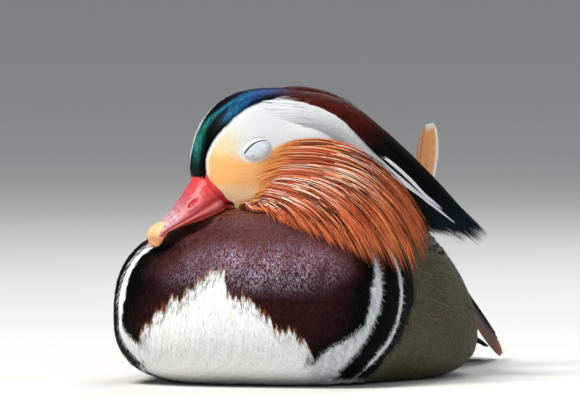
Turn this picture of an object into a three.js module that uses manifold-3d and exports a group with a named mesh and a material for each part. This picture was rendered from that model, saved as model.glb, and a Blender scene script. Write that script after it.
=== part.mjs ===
// A drake mandarin duck asleep on its belly, its bill laid on its breast: a still, life-size model.
// Millimetres, +Z up. The duck faces -Y and its left side is +X. The origin is on the floor, under
// the middle of the flat of the belly. The head has its own frame, turned to the duck's right.
import * as THREE from "three";
import { mergeVertices } from "three/addons/utils/BufferGeometryUtils.js";
import Module from "manifold-3d";

const wasm = await Module();
wasm.setup();
const { Manifold } = wasm;

// Driving dimensions
const GAP = 0.3; // left between pieces that meet

const TORSO = {
  noseY: -88, // front of the breast
  breastY: -45, // where the breast is full
  widestY: 12, // where the flanks are widest
  tailY: 108, // where the body ends under the tail
  breastHalf: 55,
  flankHalf: 60,
  noseZ: 27,
  breastTop: 62,
  backTop: 74,
  tailZ: 35,
  breastBeam: 25, // height of the widest line of the breast
  flankBeam: 14, // and of the flanks, which sag as the duck rests
  pressed: 1.8, // how far the belly is flattened by its weight
  breastSquare: [2.7, 2.9], // exponents of the section above and below the widest line
  flankSquare: [1.66, 3.2],
  around: 34,
  along: 26,
};

const HEAD = {
  origin: new THREE.Vector3(-7.5, -48.7, 87), // midway between the eyes
  turnDeg: 43, // to the duck's right
  centre: new THREE.Vector3(0, 18, -9),
  front: 36,
  back: 28,
  up: 31.2,
  down: 17,
  half: 18,
  brow: 2.9, // exponents of the outline in front of the centre and behind it
  nape: 2.15,
  around: 24,
  along: 17,
};

const EYE = { at: new THREE.Vector3(15.2, 0, 0), long: 6, high: 4, deep: 2.7, tiltDeg: 22, slit: 0.5 };

const BILL = {
  gape: new THREE.Vector2(-10, -19.7), // (back, up) in the head's frame
  lip: new THREE.Vector2(-36.2, -31),
  hook: 4.4, // how far the nail's tip bends down past the line of the edge, and where it begins
  hookFrom: 0.84,
  culmen: [
    [-12, -5],
    [-18.9, -11.2],
    [-23.3, -17.3],
    [-27.7, -22.4],
    [-32.3, -26.2],
    [-36.5, -29.2],
    [-38, -33.4],
  ],
  halfBase: 8,
  halfTip: 6,
  nailLong: 0.24, // share of the bill's length that is nail
  from: 0.02, // share of its length that stays inside the face
  blunt: 0.8, // where its sides begin to round off towards the tip
  parted: 0.5, // left between the mandibles, above the gap that all pieces keep
  jawDeep: 3.2,
  jawTo: 0.93, // the lower mandible ends behind the nail
  nostril: { at: new THREE.Vector3(5.4, -23.2, -18.7), long: 2.4, high: 0.9, deep: 1.6 },
};

const NECK = {
  low: new THREE.Vector3(1, -25, 42),
  high: new THREE.Vector3(13, -26, 83),
  rLow: 33,
  rHigh: 20,
};

const CREST = {
  // centreline in the head's frame (back, up), with half widths and half heights
  line: [
    [4, 10],
    [20, 11.5],
    [36, 8.8],
    [52, 0.5],
    [66, -11],
    [79, -24],
    [93, -36.5],
  ],
  half: [11, 14.5, 14.5, 13, 11.5, 9.5, 6.5],
  high: [10.8, 11.4, 11.4, 11.8, 11.5, 10.5, 8],
  core: 0.5, // share of its length that is solid under the locks
  coreThick: 0.84, // share of the crest's thickness
  tiers: 4,
  perTier: 6,
  rootFrom: 0.04, // where the first tier is rooted, as a share of the length, and the step to the next
  tierStep: 0.15,
  reachDeg: 122, // how far round its line, from the top to either side, the locks are rooted
  lockLong: 0.56,
  wide: 10,
  thick: 1.3,
  shingleDeg: 30,
};

const RUFF = {
  wide: 7,
  thick: 1.1,
  shingleDeg: -14,
  core: 0.46, // share of the hackles' length that is solid under them
  coreHalf: 3.4,
  sunk: 3, // how far the roots reach into the cheek
  // (side, back, up) in the head's frame, from the lowest hackle in front to the highest behind
  roots: [
    [10, -2.6, -20.5],
    [14.6, 1.6, -15.6],
    [16, 4.3, -12],
    [16, 8, -6],
    [15.2, 15, 2.9],
  ],
  left: {
    rows: [
      { count: 15, out: 0, long: 1 },
      { count: 8, out: 1.8, long: 0.78 },
      { count: 4, out: 3.6, long: 0.56 },
    ],
    middles: [
      [16.8, 2.9, -20.4],
      [23.7, 12.7, -17.2],
      [36.2, 22.3, -10.4],
      [37.5, 40.1, -2.8],
      [29, 40.7, 6.9],
    ],
    tips: [
      [18.5, 1, -26.1],
      [46.5, 12, -34.7],
      [51.5, 29.4, -42.7],
      [41, 53.4, -43.2],
      [26, 66.9, -32.4],
    ],
  },
  // on the side that the head is turned to, the ruff is pushed up by the shoulder
  right: {
    rows: [
      { count: 10, out: 0, long: 1 },
      { count: 6, out: 1.8, long: 0.74 },
    ],
    middles: [
      [16, 1, -17],
      [24, 10, -11],
      [29, 22, -6],
      [30, 33, -1],
      [26, 34, 7],
    ],
    tips: [
      [16, 2, -23],
      [28, 18, -20],
      [34, 36, -16.5],
      [31, 52, -17],
      [22, 60, -15],
    ],
  },
};

// Angles (t) on the wings are in degrees round the torso's section, from the duck's side to its back.
const WING = {
  core: { y: 36, halfLong: 52, t: 54, halfT: 22, thick: 4.4 },
  sunk: 1.5, // how far above the torso the roots lie, inside the core
  thick: 1.1,
  coverts: [
    { y: 2, count: 4, long: 24, wide: 15, off: 3.4 },
    { y: 18, count: 4, long: 28, wide: 15, off: 2.8 },
    { y: 38, count: 5, long: 38, wide: 13, off: 2.4 },
  ],
  arch: 2.4, // how far a covert's middle rises above its root
  tertials: { count: 4, wide: 14, ys: [56, 78, 101], t: 54, tStep: 7, shorter: 4, off: 4.5, tipOff: 6.5 },
  // the primaries lie outside one another, from the lowest at the flank to the one over the tail
  primaries: {
    count: 6,
    wide: 12,
    rootY: 48,
    t: [36, 62],
    middles: [new THREE.Vector3(46.5, 99, 13), new THREE.Vector3(27, 108, 43)],
    tips: [new THREE.Vector3(33.5, 164, 2.2), new THREE.Vector3(13, 148, 25)],
    facing: [new THREE.Vector3(0.9, 0.15, 0.45), new THREE.Vector3(0.35, 0.15, 0.9)],
  },
  shingleDeg: 2,
};

// The sail: the innermost tertial of each wing, which stands up over the back
const SAIL = {
  root: new THREE.Vector3(26, 58, 56),
  middle: new THREE.Vector3(28, 79, 70),
  tip: new THREE.Vector3(29.3, 76, 93),
  across: new THREE.Vector3(-0.03, 0.96, -0.26),
  wide: 27,
  rootWide: 0.72, // share of that width at the root
  thick: 1.1,
};

const TAIL = {
  feathers: { count: 11, y: 82, z: 40, long: 92, wide: 15, droop: 27, step: 1.5 },
  coverts: { count: 5, y: 80, z: 43.5, long: 50, wide: 12, droop: 12.5, step: 1.95 },
  thick: 1.1,
  rootHalf: 9, // half of the width that the roots are spread over
  fanDeg: 13,
  arch: 3,
  shorter: 0.08, // share by which the outermost feathers are shorter
  core: { at: new THREE.Vector3(0, 104, 31.5), halfWide: 19, halfLong: 27, halfHigh: 6.9, slopeDeg: 17 },
};

const LEG = {
  at: new THREE.Vector3(22, 14, 2.4), // where the toes meet
  toe: 38,
  spreadDeg: 17,
  outDeg: 4, // how far the middle toe points outwards
  outerToe: 0.88, // length of the outer toes as a share of the middle one's
  tarsus: 37,
  rTarsus: 3,
  rToe: 2.1,
  rTip: 1.1,
  web: 1,
};

// Each material's colour, roughness and metalness
const material = (color, roughness) => new THREE.MeshStandardMaterial({ color, roughness, metalness: 0 });
const MATERIALS = {
  body: material(0x6b655a, 0.7),
  neck: material(0x3a1a2a, 0.6),
  face: material(0xf1ead8, 0.7),
  lid: material(0xe6e8ee, 0.5),
  bill: material(0xb63a3c, 0.35),
  nail: material(0xe0b987, 0.4),
  crest: material(0x23202a, 0.5),
  hackle: material(0xc0622e, 0.6),
  wing: material(0x3d3a33, 0.6),
  sail: material(0xd98a44, 0.6),
  tail: material(0x39342c, 0.6),
  foot: material(0xd08a3a, 0.6),
};

const v3 = (x, y, z) => new THREE.Vector3(x, y, z);
const lerp = THREE.MathUtils.lerp;
const rad = THREE.MathUtils.degToRad;
const smooth = (a, b, x) => THREE.MathUtils.smoothstep(x, a, b);
const power = (c, e) => Math.sign(c) * Math.abs(c) ** e;

// Closed bodies

// A body of rings from one pole to the other; point(s, k) gives the place of corner k of the ring at
// share s of the length. With flat set, both faces of a thin body are split into triangles alike.
function rings(around, along, point, flat = false) {
  const positions = [];
  for (let i = 0; i <= along; i++) {
    for (let k = 0; k < around; k++) positions.push(...point(i / along, k).toArray());
  }
  const index = [];
  for (let i = 0; i < along; i++) {
    for (let k = 0; k < around; k++) {
      const next = (k + 1) % around;
      const [a, b, c, d] = [i * around + k, i * around + next, (i + 1) * around + k, (i + 1) * around + next];
      if (flat && k >= around / 2) index.push(a, b, c, b, d, c);
      else index.push(a, b, d, a, d, c);
    }
  }
  const geometry = new THREE.BufferGeometry();
  geometry.setAttribute("position", new THREE.Float32BufferAttribute(positions, 3));
  geometry.setIndex(index);
  return geometry;
}

function signedVolume(p, tri) {
  const [a, b, c] = [v3(), v3(), v3()];
  let sum = 0;
  for (let i = 0; i < tri.length; i += 3) {
    a.fromArray(p, 3 * tri[i]);
    b.fromArray(p, 3 * tri[i + 1]);
    c.fromArray(p, 3 * tri[i + 2]);
    sum += a.dot(b.cross(c));
  }
  return sum;
}

function solid(geometry) {
  geometry.deleteAttribute("normal");
  geometry.deleteAttribute("uv");
  const merged = mergeVertices(geometry, 1e-4);
  const p = merged.attributes.position.array;
  const tri = [];
  for (let i = 0; i < merged.index.count; i += 3) {
    const [a, b, c] = [0, 1, 2].map((j) => merged.index.getX(i + j));
    if (a !== b && b !== c && a !== c) tri.push(a, b, c);
  }
  if (signedVolume(p, tri) < 0) tri.reverse();
  return new Manifold(new wasm.Mesh({ numProp: 3, vertProperties: p, triVerts: new Uint32Array(tri) }));
}

// A round or oval body: section(s, angle) gives a point of the ring at share s.
const oval = (around, along, section) =>
  solid(rings(around, along, (s, k) => section(s, (2 * Math.PI * k) / around)));

// An ellipsoid with half axes along three directions, set at a centre.
function ellipsoid(centre, axes, around, along) {
  return oval(around, along, (s, t) => {
    const ring = Math.sin(Math.PI * s);
    return centre
      .clone()
      .addScaledVector(axes[0], ring * Math.cos(t))
      .addScaledVector(axes[1], ring * Math.sin(t))
      .addScaledVector(axes[2], Math.cos(Math.PI * s));
  });
}

// A feather, lock or toe: it follows a curve, lies across it along side(s), and tapers at both ends.
// A crowd over 1 sets its rings closer together towards the tip.
function vane({ curve, side, width, thick, steps = 6, corners = 4, crowd = 1 }) {
  const section = (share, k) => {
    const s = 1 - (1 - share) ** crowd;
    const at = curve.getPoint(s);
    const along = curve.getTangent(s);
    const across = side(s).clone().addScaledVector(along, -side(s).dot(along)).normalize();
    const lift = along.clone().cross(across).normalize();
    const angle = (2 * Math.PI * k) / corners;
    return at
      .addScaledVector(across, (width(s) / 2) * Math.cos(angle))
      .addScaledVector(lift, (thick(s) / 2) * Math.sin(angle));
  };
  return solid(rings(corners, steps, section, true));
}

const ribbon = (root, middle, tip) => new THREE.QuadraticBezierCurve3(root, middle, tip);

// Widths along a rounded feather and a pointed lock at share s from the root, and an even thickness
const inside = (s) => (s <= 0 || s >= 1 ? 0 : 1);
const rounded = (wide, grow = 0) => (s) => {
  const tip = s > 0.8 ? Math.sqrt(1 - ((s - 0.8) / 0.2) ** 2) : 1;
  return inside(s) * (wide * lerp(0.55, 1, smooth(0, 0.5, s)) * tip + grow);
};
const pointed = (wide, grow = 0) => (s) => {
  const taper = s < 0.5 ? 0.7 + 0.6 * s : 1 - 0.3 * (s - 0.5) - 2.4 * (s - 0.5) ** 2;
  return inside(s) * (wide * taper + grow);
};
const even = (thick, grow = 0) => (s) => inside(s) * (thick + grow);

// A direction tilted about the line it lies across, so that each feather's edge passes over the next
const shingled = (across, along, deg) => across.clone().applyAxisAngle(along.clone().normalize(), rad(deg));

// Only the largest closed surface of a node is kept.
function largest(shape) {
  const bodies = shape.decompose().sort((a, b) => b.volume() - a.volume());
  return bodies[0];
}

const joined = (shapes) => Manifold.union(shapes);

// Torso

function torsoRing(y) {
  const T = TORSO;
  const flank = smooth(T.breastY, T.widestY, y);
  const beam = lerp(T.breastBeam, T.flankBeam, flank);
  const square = T.breastSquare.map((n, i) => lerp(n, T.flankSquare[i], flank));
  if (y < T.breastY) {
    const q = Math.min(1, (T.breastY - y) / (T.breastY - T.noseY));
    const f = (1 - q ** 2.3) ** (1 / 2.3);
    const mid = lerp(T.noseZ, beam, f);
    const [up, down] = [(T.breastTop - beam) * f, (beam + T.pressed) * f];
    return { half: T.breastHalf * f, mid, up, down, square };
  }
  const top = lerp(T.breastTop, T.backTop, smooth(T.breastY, T.widestY - 8, y));
  if (y < T.widestY) {
    const half = lerp(T.breastHalf, T.flankHalf, flank);
    return { half, mid: beam, up: top - beam, down: beam + T.pressed, square };
  }
  const r = Math.min(1, (y - T.widestY) / (T.tailY - T.widestY));
  const g = (1 - r ** 2.2) ** 0.56;
  const under = (1 - r ** 2.6) ** 0.8 * g ** 0.25;
  const mid = lerp(T.tailZ, beam, g);
  return { half: T.flankHalf * g, mid, up: (T.backTop - beam) * g, down: (beam + T.pressed) * under, square };
}

// The torso's surface at y and angle t: 0 is the duck's left, a quarter turn is its back.
function torsoPoint(y, t) {
  const ring = torsoRing(y);
  const [c, s] = [Math.cos(t), Math.sin(t)];
  const round = 2 / ring.square[s > 0 ? 0 : 1];
  const z = ring.mid + power(s, round) * (s > 0 ? ring.up : ring.down);
  return v3(ring.half * power(c, round), y, z);
}

function torsoSolid(grow = 0) {
  const T = TORSO;
  const middle = (T.noseY + T.tailY) / 2;
  const halfLong = (T.tailY - T.noseY) / 2;
  return oval(T.around, T.along, (s, t) => {
    const share = -Math.cos(Math.PI * s);
    const y = s <= 0 ? T.noseY : s >= 1 ? T.tailY : middle + share * halfLong;
    const p = torsoPoint(y, t);
    const ring = torsoRing(y);
    const out = v3(p.x, 0, p.z - ring.mid);
    const room = out.length();
    if (room > 0.01) p.addScaledVector(out, grow / Math.max(room, grow));
    p.y += share * grow;
    p.z = Math.max(p.z, -grow);
    return p;
  });
}

// A point over the torso at y and t (degrees), off millimetres out from its surface, with the normal.
function over(y, tDeg, off) {
  const t = rad(tDeg);
  const step = 0.5;
  const p = torsoPoint(y, t);
  const alongY = torsoPoint(y + step, t).sub(torsoPoint(y - step, t));
  const alongT = torsoPoint(y, t + 0.01).sub(torsoPoint(y, t - 0.01));
  const normal = alongY.cross(alongT).normalize();
  if (normal.dot(v3(p.x, 0, p.z - TORSO.flankBeam)) < 0) normal.negate();
  return { at: p.addScaledVector(normal, off), normal };
}

const mirrored = (shape, side) => (side < 0 ? shape.mirror([1, 0, 0]) : shape);

// Neck

function neckSolid(grow = 0) {
  const N = NECK;
  return oval(24, 8, (s, t) => {
    const f = (1 - Math.cos(Math.PI * s)) / 2;
    const at = N.low.clone().lerp(N.high, f);
    const ring = s <= 0 || s >= 1 ? 0 : Math.sin(Math.PI * s) ** 0.55 * (lerp(N.rLow, N.rHigh, f) + grow);
    return at.add(v3(ring * Math.cos(t) * 1.1, ring * Math.sin(t), (f - 0.5) * 2 * grow));
  });
}

// Head, in its own frame: x to the duck's left, y back, z up

const turn = new THREE.Matrix4().makeRotationZ(rad(-HEAD.turnDeg)).setPosition(HEAD.origin);
const placed = (shape) => shape.transform(turn.elements);
const toWorld = (p) => p.clone().applyMatrix4(turn);

function headPoint(s, t, grow = 0) {
  const H = HEAD;
  const share = -Math.cos(Math.PI * s);
  const n = share < 0 ? H.brow : H.nape;
  const ring = s <= 0 || s >= 1 ? 0 : (1 - Math.abs(share) ** n) ** (1 / n);
  const y = share * (share < 0 ? H.front : H.back);
  const [c, rise] = [Math.cos(t), Math.sin(t)];
  const crown = rise > 0 ? 1 - 0.16 * rise * rise : 1; // the crown is narrower than the cheeks
  const skin = grow * Math.min(1, ring * 3);
  const x = (H.half * ring + skin) * c * crown;
  const z = ring * (rise > 0 ? H.up : H.down) * power(rise, rise > 0 ? 0.96 : 0.9);
  return H.centre.clone().add(v3(x, y + share * grow, z + rise * skin));
}

const headSolid = (grow = 0) => oval(HEAD.around, HEAD.along, (s, t) => headPoint(s, t, grow));

function eyeSolid(side, grow = 0) {
  const tilt = rad(EYE.tiltDeg);
  const out = v3(1, -0.22, 0.16).normalize();
  const long = v3(0.16, Math.cos(tilt), Math.sin(tilt)).normalize();
  const high = out.clone().cross(long).normalize();
  const axes = [
    long.multiplyScalar(EYE.long + grow),
    high.clone().multiplyScalar(EYE.high + grow),
    out.clone().multiplyScalar(EYE.deep + grow),
  ];
  const shape = ellipsoid(EYE.at, axes, 14, 7);
  if (grow > 0) return mirrored(shape, side);
  // the slit between the closed lids: a thin arc above the middle, cut into the face of the lids
  const up = high.z > 0 ? 1 : -1;
  const arc = [-1, 0, 1].map((a) =>
    EYE.at.clone()
      .addScaledVector(axes[0], 0.8 * a)
      .addScaledVector(high, up * (2.1 - 1.3 * a * a))
      .addScaledVector(out, EYE.deep * (0.95 - 0.35 * a * a)),
  );
  const middle = arc[1].clone().multiplyScalar(2).addScaledVector(arc[0], -0.5).addScaledVector(arc[2], -0.5);
  const slit = vane({
    curve: ribbon(arc[0], middle, arc[2]),
    side: () => high,
    width: even(EYE.slit),
    thick: even(1.2),
    steps: 4,
  });
  return mirrored(shape.subtract(slit), side);
}

// Bill

const culmenCurve = new THREE.CatmullRomCurve3(BILL.culmen.map(([y, z]) => v3(0, y, z)));

function billHalf(a, grow = 0) {
  const past = Math.max(0, (a - BILL.blunt) / (1 - BILL.blunt));
  const blunt = Math.sqrt(Math.max(0, 1 - past * past));
  const taper = lerp(BILL.halfBase, BILL.halfTip, smooth(0, 0.75, a));
  return taper * lerp(0.12, 1, blunt) + grow;
}

function billTomium(a) {
  const p = BILL.gape.clone().lerp(BILL.lip, a);
  return v3(0, p.x, p.y - BILL.hook * smooth(BILL.hookFrom, 1, a) ** 2);
}

// The upper mandible between shares a0 and a1 of the bill's length.
function upperBill(a0, a1, grow = 0) {
  return oval(18, 10, (s, t) => {
    const f = (1 - Math.cos(Math.PI * s)) / 2;
    const a = lerp(a0, a1, f);
    const low = billTomium(a);
    const top = culmenCurve.getPoint(a);
    const rise = top.clone().sub(low);
    const unit = rise.clone().normalize();
    const tip = a1 >= 1 ? 1 - smooth(0.93, 1, a) * 0.75 : 1;
    const closed = s <= 0 || s >= 1 ? 0 : 1;
    const x = closed * billHalf(a, grow) * power(Math.cos(t), 0.85);
    const n = Math.sin(t);
    const height = n > 0 ? n ** 0.8 * rise.length() * tip : -0.06 * rise.length();
    const swell = n > 0 ? grow * n : -grow;
    const end = (s <= 0 ? -1 : s >= 1 ? 1 : 0) * grow;
    const at = low.addScaledVector(unit, closed * (height + swell) + (1 - closed) * rise.length() * 0.3);
    return v3(x, at.y - end, at.z - end * 0.5);
  });
}

function nostril() {
  const { at, long, high, deep } = BILL.nostril;
  const along = v3(0, -0.72, -0.66);
  const across = v3(0.5, 0.45, -0.55).normalize();
  const out = along.clone().cross(across).normalize();
  const axes = [along.multiplyScalar(long), across.multiplyScalar(high), out.multiplyScalar(deep)];
  return ellipsoid(at, axes, 10, 6);
}

function lowerBill(grow = 0) {
  return oval(14, 10, (s, t) => {
    const f = (1 - Math.cos(Math.PI * s)) / 2;
    const a = lerp(BILL.from, BILL.jawTo, f);
    const top = billTomium(a);
    const unit = culmenCurve.getPoint(a).sub(top).normalize();
    const closed = s <= 0 || s >= 1 ? 0 : 1;
    const n = Math.sin(t);
    const lips = BILL.parted + GAP;
    const down = lips + (n < 0 ? -n * BILL.jawDeep * lerp(1, 0.55, a) + grow : -grow);
    const x = closed * (billHalf(a, grow) - 0.8) * power(Math.cos(t), 0.8);
    return top.addScaledVector(unit, -(closed ? down : lips + 0.6)).setX(x);
  });
}

// Crest

const crestLine = new THREE.CatmullRomCurve3(CREST.line.map(([y, z]) => v3(0, y, z)));

function tableAt(list, s) {
  const at = THREE.MathUtils.clamp(s, 0, 1) * (list.length - 1);
  const i = Math.min(list.length - 2, Math.floor(at));
  return lerp(list[i], list[i + 1], at - i);
}

// A point of the crest's stream: share s from the crown to the tips, at an angle round its line.
function streamPoint(s, angle, spread) {
  const at = crestLine.getPoint(Math.min(1, s));
  const along = crestLine.getTangent(Math.min(1, s));
  if (s > 1) at.addScaledVector(along, (s - 1) * crestLine.getLength());
  const up = v3(0, -along.z, along.y);
  return at
    .addScaledVector(v3(1, 0, 0), spread * tableAt(CREST.half, s) * Math.cos(angle))
    .addScaledVector(up, spread * tableAt(CREST.high, s) * Math.sin(angle));
}

function crestSolid() {
  const C = CREST;
  const core = oval(16, 9, (s, t) => {
    const ring = s <= 0 || s >= 1 ? 0 : Math.sin(Math.PI * s) ** 0.5 * C.coreThick;
    return streamPoint(C.rootFrom / 2 + C.core * s, t, ring);
  });
  const locks = [];
  for (let tier = 0; tier < C.tiers; tier++) {
    const from = C.rootFrom + C.tierStep * tier;
    for (let i = 0; i < C.perTier; i++) {
      const stagger = tier % 2 ? 0.75 : 0.25;
      const a = -1 + (2 * (i + stagger)) / C.perTier;
      const angle = Math.PI / 2 + a * rad(C.reachDeg);
      const to = from + C.lockLong - 0.05 * Math.abs(a) + 0.035 * Math.sin(5 * i + 3 * tier);
      const root = streamPoint(from, angle, 0.6);
      const middle = streamPoint((from + to) / 2, angle, 1.3);
      const tip = streamPoint(to, angle, 1.02 - 0.1 * Math.abs(Math.sin(7 * i + tier)));
      const along = tip.clone().sub(root);
      const side = shingled(v3(Math.sin(angle), 0, -Math.cos(angle)), along, C.shingleDeg);
      locks.push(vane({
        curve: ribbon(root, middle, tip),
        side: () => side,
        width: pointed(C.wide),
        thick: even(C.thick),
        steps: 4,
        crowd: 1.2,
      }));
    }
  }
  return joined([core, ...locks]);
}

// Ruff of hackles on each cheek

const through = (points) => new THREE.CatmullRomCurve3(points.map((p) => v3(...p)));

// The line that the hackle at share a of the ruff follows, out from the cheek by some millimetres
function hackleLine(fan, a, out = 0, long = 1) {
  const root = fan.roots.getPoint(a);
  const middle = fan.middles.getPoint(a).add(v3(out, 0, 0.4 * out));
  const tip = fan.tips.getPoint(a).add(v3(out * 0.5, 0, 0));
  const whole = ribbon(root, middle, tip);
  if (long === 1) return whole;
  // the first part of a curve of this kind is one too
  const end = whole.getPoint(long);
  return ribbon(root, root.clone().lerp(middle, long), end);
}

function ruffSolid(side) {
  const R = RUFF;
  const shape = side > 0 ? R.left : R.right;
  const fan = { roots: through(R.roots), middles: through(shape.middles), tips: through(shape.tips) };
  const core = oval(16, 9, (s, t) => {
    const line = hackleLine(fan, 0.04 + 0.92 * s);
    const ring = Math.sin(Math.PI * s) ** 0.4;
    const at = line.getPoint((R.core / 2) * (0.96 + ring * Math.cos(t)));
    return at.add(v3(R.coreHalf * (ring * Math.sin(t) - 0.94), 0, 0));
  });
  const hackles = [];
  for (const [layer, row] of shape.rows.entries()) {
    for (let i = 0; i < row.count; i++) {
      const a = THREE.MathUtils.clamp((i + 0.5 + 0.12 * Math.sin(9 * i)) / row.count, 0, 1);
      const long = row.long * (1 - 0.06 * Math.abs(Math.sin(4 * i + layer)));
      const curve = hackleLine(fan, a, row.out, long);
      curve.v0.add(v3(-R.sunk, 0, 0));
      const next = hackleLine(fan, Math.min(1, a + 0.05)).getPoint(0.7);
      const last = hackleLine(fan, Math.max(0, a - 0.05)).getPoint(0.7);
      const along = curve.v2.clone().sub(curve.v0);
      const across = shingled(next.sub(last).normalize(), along, -R.shingleDeg);
      hackles.push(vane({
        curve,
        side: () => across,
        width: pointed(R.wide),
        thick: even(R.thick),
        steps: 4,
        crowd: 1.2,
      }));
    }
  }
  return mirrored(joined([core, ...hackles]), side);
}

// Wings, folded along the back

function wingSolid(side, grow = 0) {
  const { core, coverts, tertials, primaries } = WING;
  const shell = oval(20, 10, (s, t) => {
    const ring = Math.sin(Math.PI * s);
    const y = core.y - Math.cos(Math.PI * s) * (core.halfLong + grow);
    const angle = core.t + ring * (core.halfT + grow) * Math.cos(t);
    return over(y, angle, core.thick / 2 - 0.2 + ring * (core.thick / 2 + grow) * Math.sin(t)).at;
  });
  const feathers = [];
  const thick = even(WING.thick, 2 * grow);
  const lay = (root, middle, tip, normal, width) => {
    const along = tip.clone().sub(root);
    const across = shingled(normal.clone().cross(along).normalize(), along, WING.shingleDeg);
    const curve = ribbon(root, middle, tip);
    feathers.push(vane({ curve, side: () => across, width, thick, steps: 4, crowd: 1.6 }));
  };
  for (const row of coverts) {
    for (let i = 0; i < row.count; i++) {
      const t = core.t + core.halfT * (-0.8 + (1.6 * (i + 0.5)) / row.count);
      const long = row.long * (1 + 0.06 * Math.sin(5 * i + row.y));
      const root = over(row.y, t, WING.sunk).at;
      const middle = over(row.y + long / 2, t + 1, row.off + WING.arch);
      const tip = over(row.y + long, t + 2, row.off - 0.6).at;
      lay(root, middle.at, tip, middle.normal, rounded(row.wide, 2 * grow));
    }
  }
  for (let i = 0; i < tertials.count; i++) {
    const t = tertials.t + tertials.tStep * i;
    const [rootY, middleY, tipY] = tertials.ys;
    const root = over(rootY, t, WING.sunk).at;
    const middle = over(middleY, t + 1, tertials.off + 0.8 * i);
    const tip = over(tipY - tertials.shorter * i, t + 3, tertials.tipOff).at;
    lay(root, middle.at, tip, middle.normal, rounded(tertials.wide, 2 * grow));
  }
  for (let i = 0; i < primaries.count; i++) {
    const share = i / (primaries.count - 1);
    const between = ([low, high]) => low.clone().lerp(high, share);
    const root = over(primaries.rootY, lerp(...primaries.t, share), WING.sunk).at;
    const out = between(primaries.facing).normalize();
    const width = pointed(primaries.wide, 2 * grow);
    lay(root, between(primaries.middles), between(primaries.tips), out, width);
  }
  return mirrored(joined([shell, ...feathers]), side);
}

function sailSolid(side) {
  const S = SAIL;
  const width = (s) => {
    const tip = Math.sqrt(1 - Math.max(0, (s - 0.75) / 0.27) ** 2);
    return inside(s) * S.wide * Math.min(1, S.rootWide + 0.5 * s) * tip;
  };
  const shape = vane({
    curve: ribbon(S.root, S.middle, S.tip),
    side: () => S.across,
    width,
    thick: even(S.thick),
    steps: 8,
    crowd: 1.4,
  });
  return mirrored(shape, side);
}

// Tail: feathers stepped down from the middle one, with shorter coverts over their roots

function tailSolid() {
  const T = TAIL;
  const feathers = [];
  for (const { count, y, z, long, wide, droop, step } of [T.feathers, T.coverts]) {
    for (let i = 0; i < count; i++) {
      const a = (2 * i) / (count - 1) - 1; // -1 to 1 from the duck's right to its left
      const yaw = rad(T.fanDeg * a);
      const base = v3(T.rootHalf * a, y, z - (step * Math.abs(a) * (count - 1)) / 2);
      const reach = long * (1 - T.shorter * a * a);
      const tip = base.clone().add(v3(Math.sin(yaw) * reach, Math.cos(yaw) * reach, -droop));
      const middle = base.clone().lerp(tip, 0.5).add(v3(0, 0, T.arch));
      const across = v3(Math.cos(yaw), -Math.sin(yaw), -0.3 * a - 0.04);
      feathers.push(vane({
        curve: ribbon(base, middle, tip),
        side: () => across,
        width: rounded(wide),
        thick: even(T.thick),
        steps: 5,
        crowd: 1.6,
      }));
    }
  }
  const { at, halfWide, halfLong, halfHigh, slopeDeg } = T.core;
  const back = v3(0, Math.cos(rad(slopeDeg)), -Math.sin(rad(slopeDeg)));
  const up = v3(1, 0, 0).cross(back);
  const axes = [v3(halfWide, 0, 0), back.multiplyScalar(halfLong), up.multiplyScalar(halfHigh)];
  return joined([ellipsoid(at, axes, 16, 8), ...feathers]);
}

// Legs, folded under the belly: tarsus, three webbed toes and a small hind toe

function legSolid(side) {
  const L = LEG;
  const from = (x, y, z) => L.at.clone().add(v3(x, y, z));
  const limb = (root, tip, r0, r1, corners = 6) => {
    const thick = (s) => inside(s) * 2 * lerp(r0, r1, s);
    const curve = ribbon(root, root.clone().lerp(tip, 0.5), tip);
    return vane({ curve, side: () => v3(1, 0, 0), width: thick, thick, steps: 4, corners });
  };
  const toeTips = [-1, 0, 1].map((k) => {
    const yaw = rad(L.spreadDeg * k + L.outDeg);
    const long = L.toe * (k === 0 ? 1 : L.outerToe);
    return from(Math.sin(yaw) * long, -Math.cos(yaw) * long, 0).setZ(0.7);
  });
  const tarsus = limb(from(-5, L.tarsus, 3.8), from(0, -2, -0.4), L.rTarsus, L.rToe + 0.4);
  const hindToe = limb(from(-2, 2, 0), from(-8, 9, -2), 1.5, 1, 4);
  const toes = toeTips.map((tip) => limb(from(0, 3, -0.6), tip, L.rToe, L.rTip));
  const webs = [0, 1].map((k) => {
    const notch = toeTips[k].clone().lerp(toeTips[k + 1], 0.5).lerp(L.at, 0.16);
    const outline = [L.at, toeTips[k], notch, toeTips[k + 1]].map((p) => new THREE.Vector2(p.x, p.y));
    return solid(new THREE.ExtrudeGeometry(new THREE.Shape(outline), { depth: L.web, bevelEnabled: false }));
  });
  const below = solid(new THREE.BoxGeometry(200, 400, 40).translate(0, 0, -20));
  return mirrored(joined([tarsus, hindToe, ...toes, ...webs]).subtract(below), side);
}

// The hollow in the belly's feathers that a folded leg lies in
function legHollow(side) {
  const { at, tarsus, toe, spreadDeg, outDeg } = LEG;
  const [rear, front] = [at.y + tarsus + 4.5, at.y - toe - 1.5];
  const spread = Math.sin(rad(spreadDeg + outDeg)) * toe + 3.5;
  const outline = [
    [-9, rear],
    [-1, rear],
    [5, at.y],
    [spread, front + 5],
    [0, front],
    [-spread + 5, front + 5],
    [-5, at.y],
  ];
  const shape = new THREE.Shape(outline.map(([x, y]) => new THREE.Vector2(at.x + x, y)));
  const foot = new THREE.ExtrudeGeometry(shape, { depth: 7, bevelEnabled: false }).translate(0, 0, -2);
  const heel = new THREE.BoxGeometry(9, tarsus + 4, 14);
  heel.translate(at.x - 3.5, at.y + tarsus / 2 + 2.5, 4);
  return mirrored(joined([solid(foot), solid(heel)]), side);
}

// Each node, cut clear of those that it meets

const SIDES = { left: 1, right: -1 };
const bothSides = (make, grow) => Object.values(SIDES).map((side) => make(side, grow));
const clear = (shape, others) => largest(shape.subtract(joined(others)));

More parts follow.
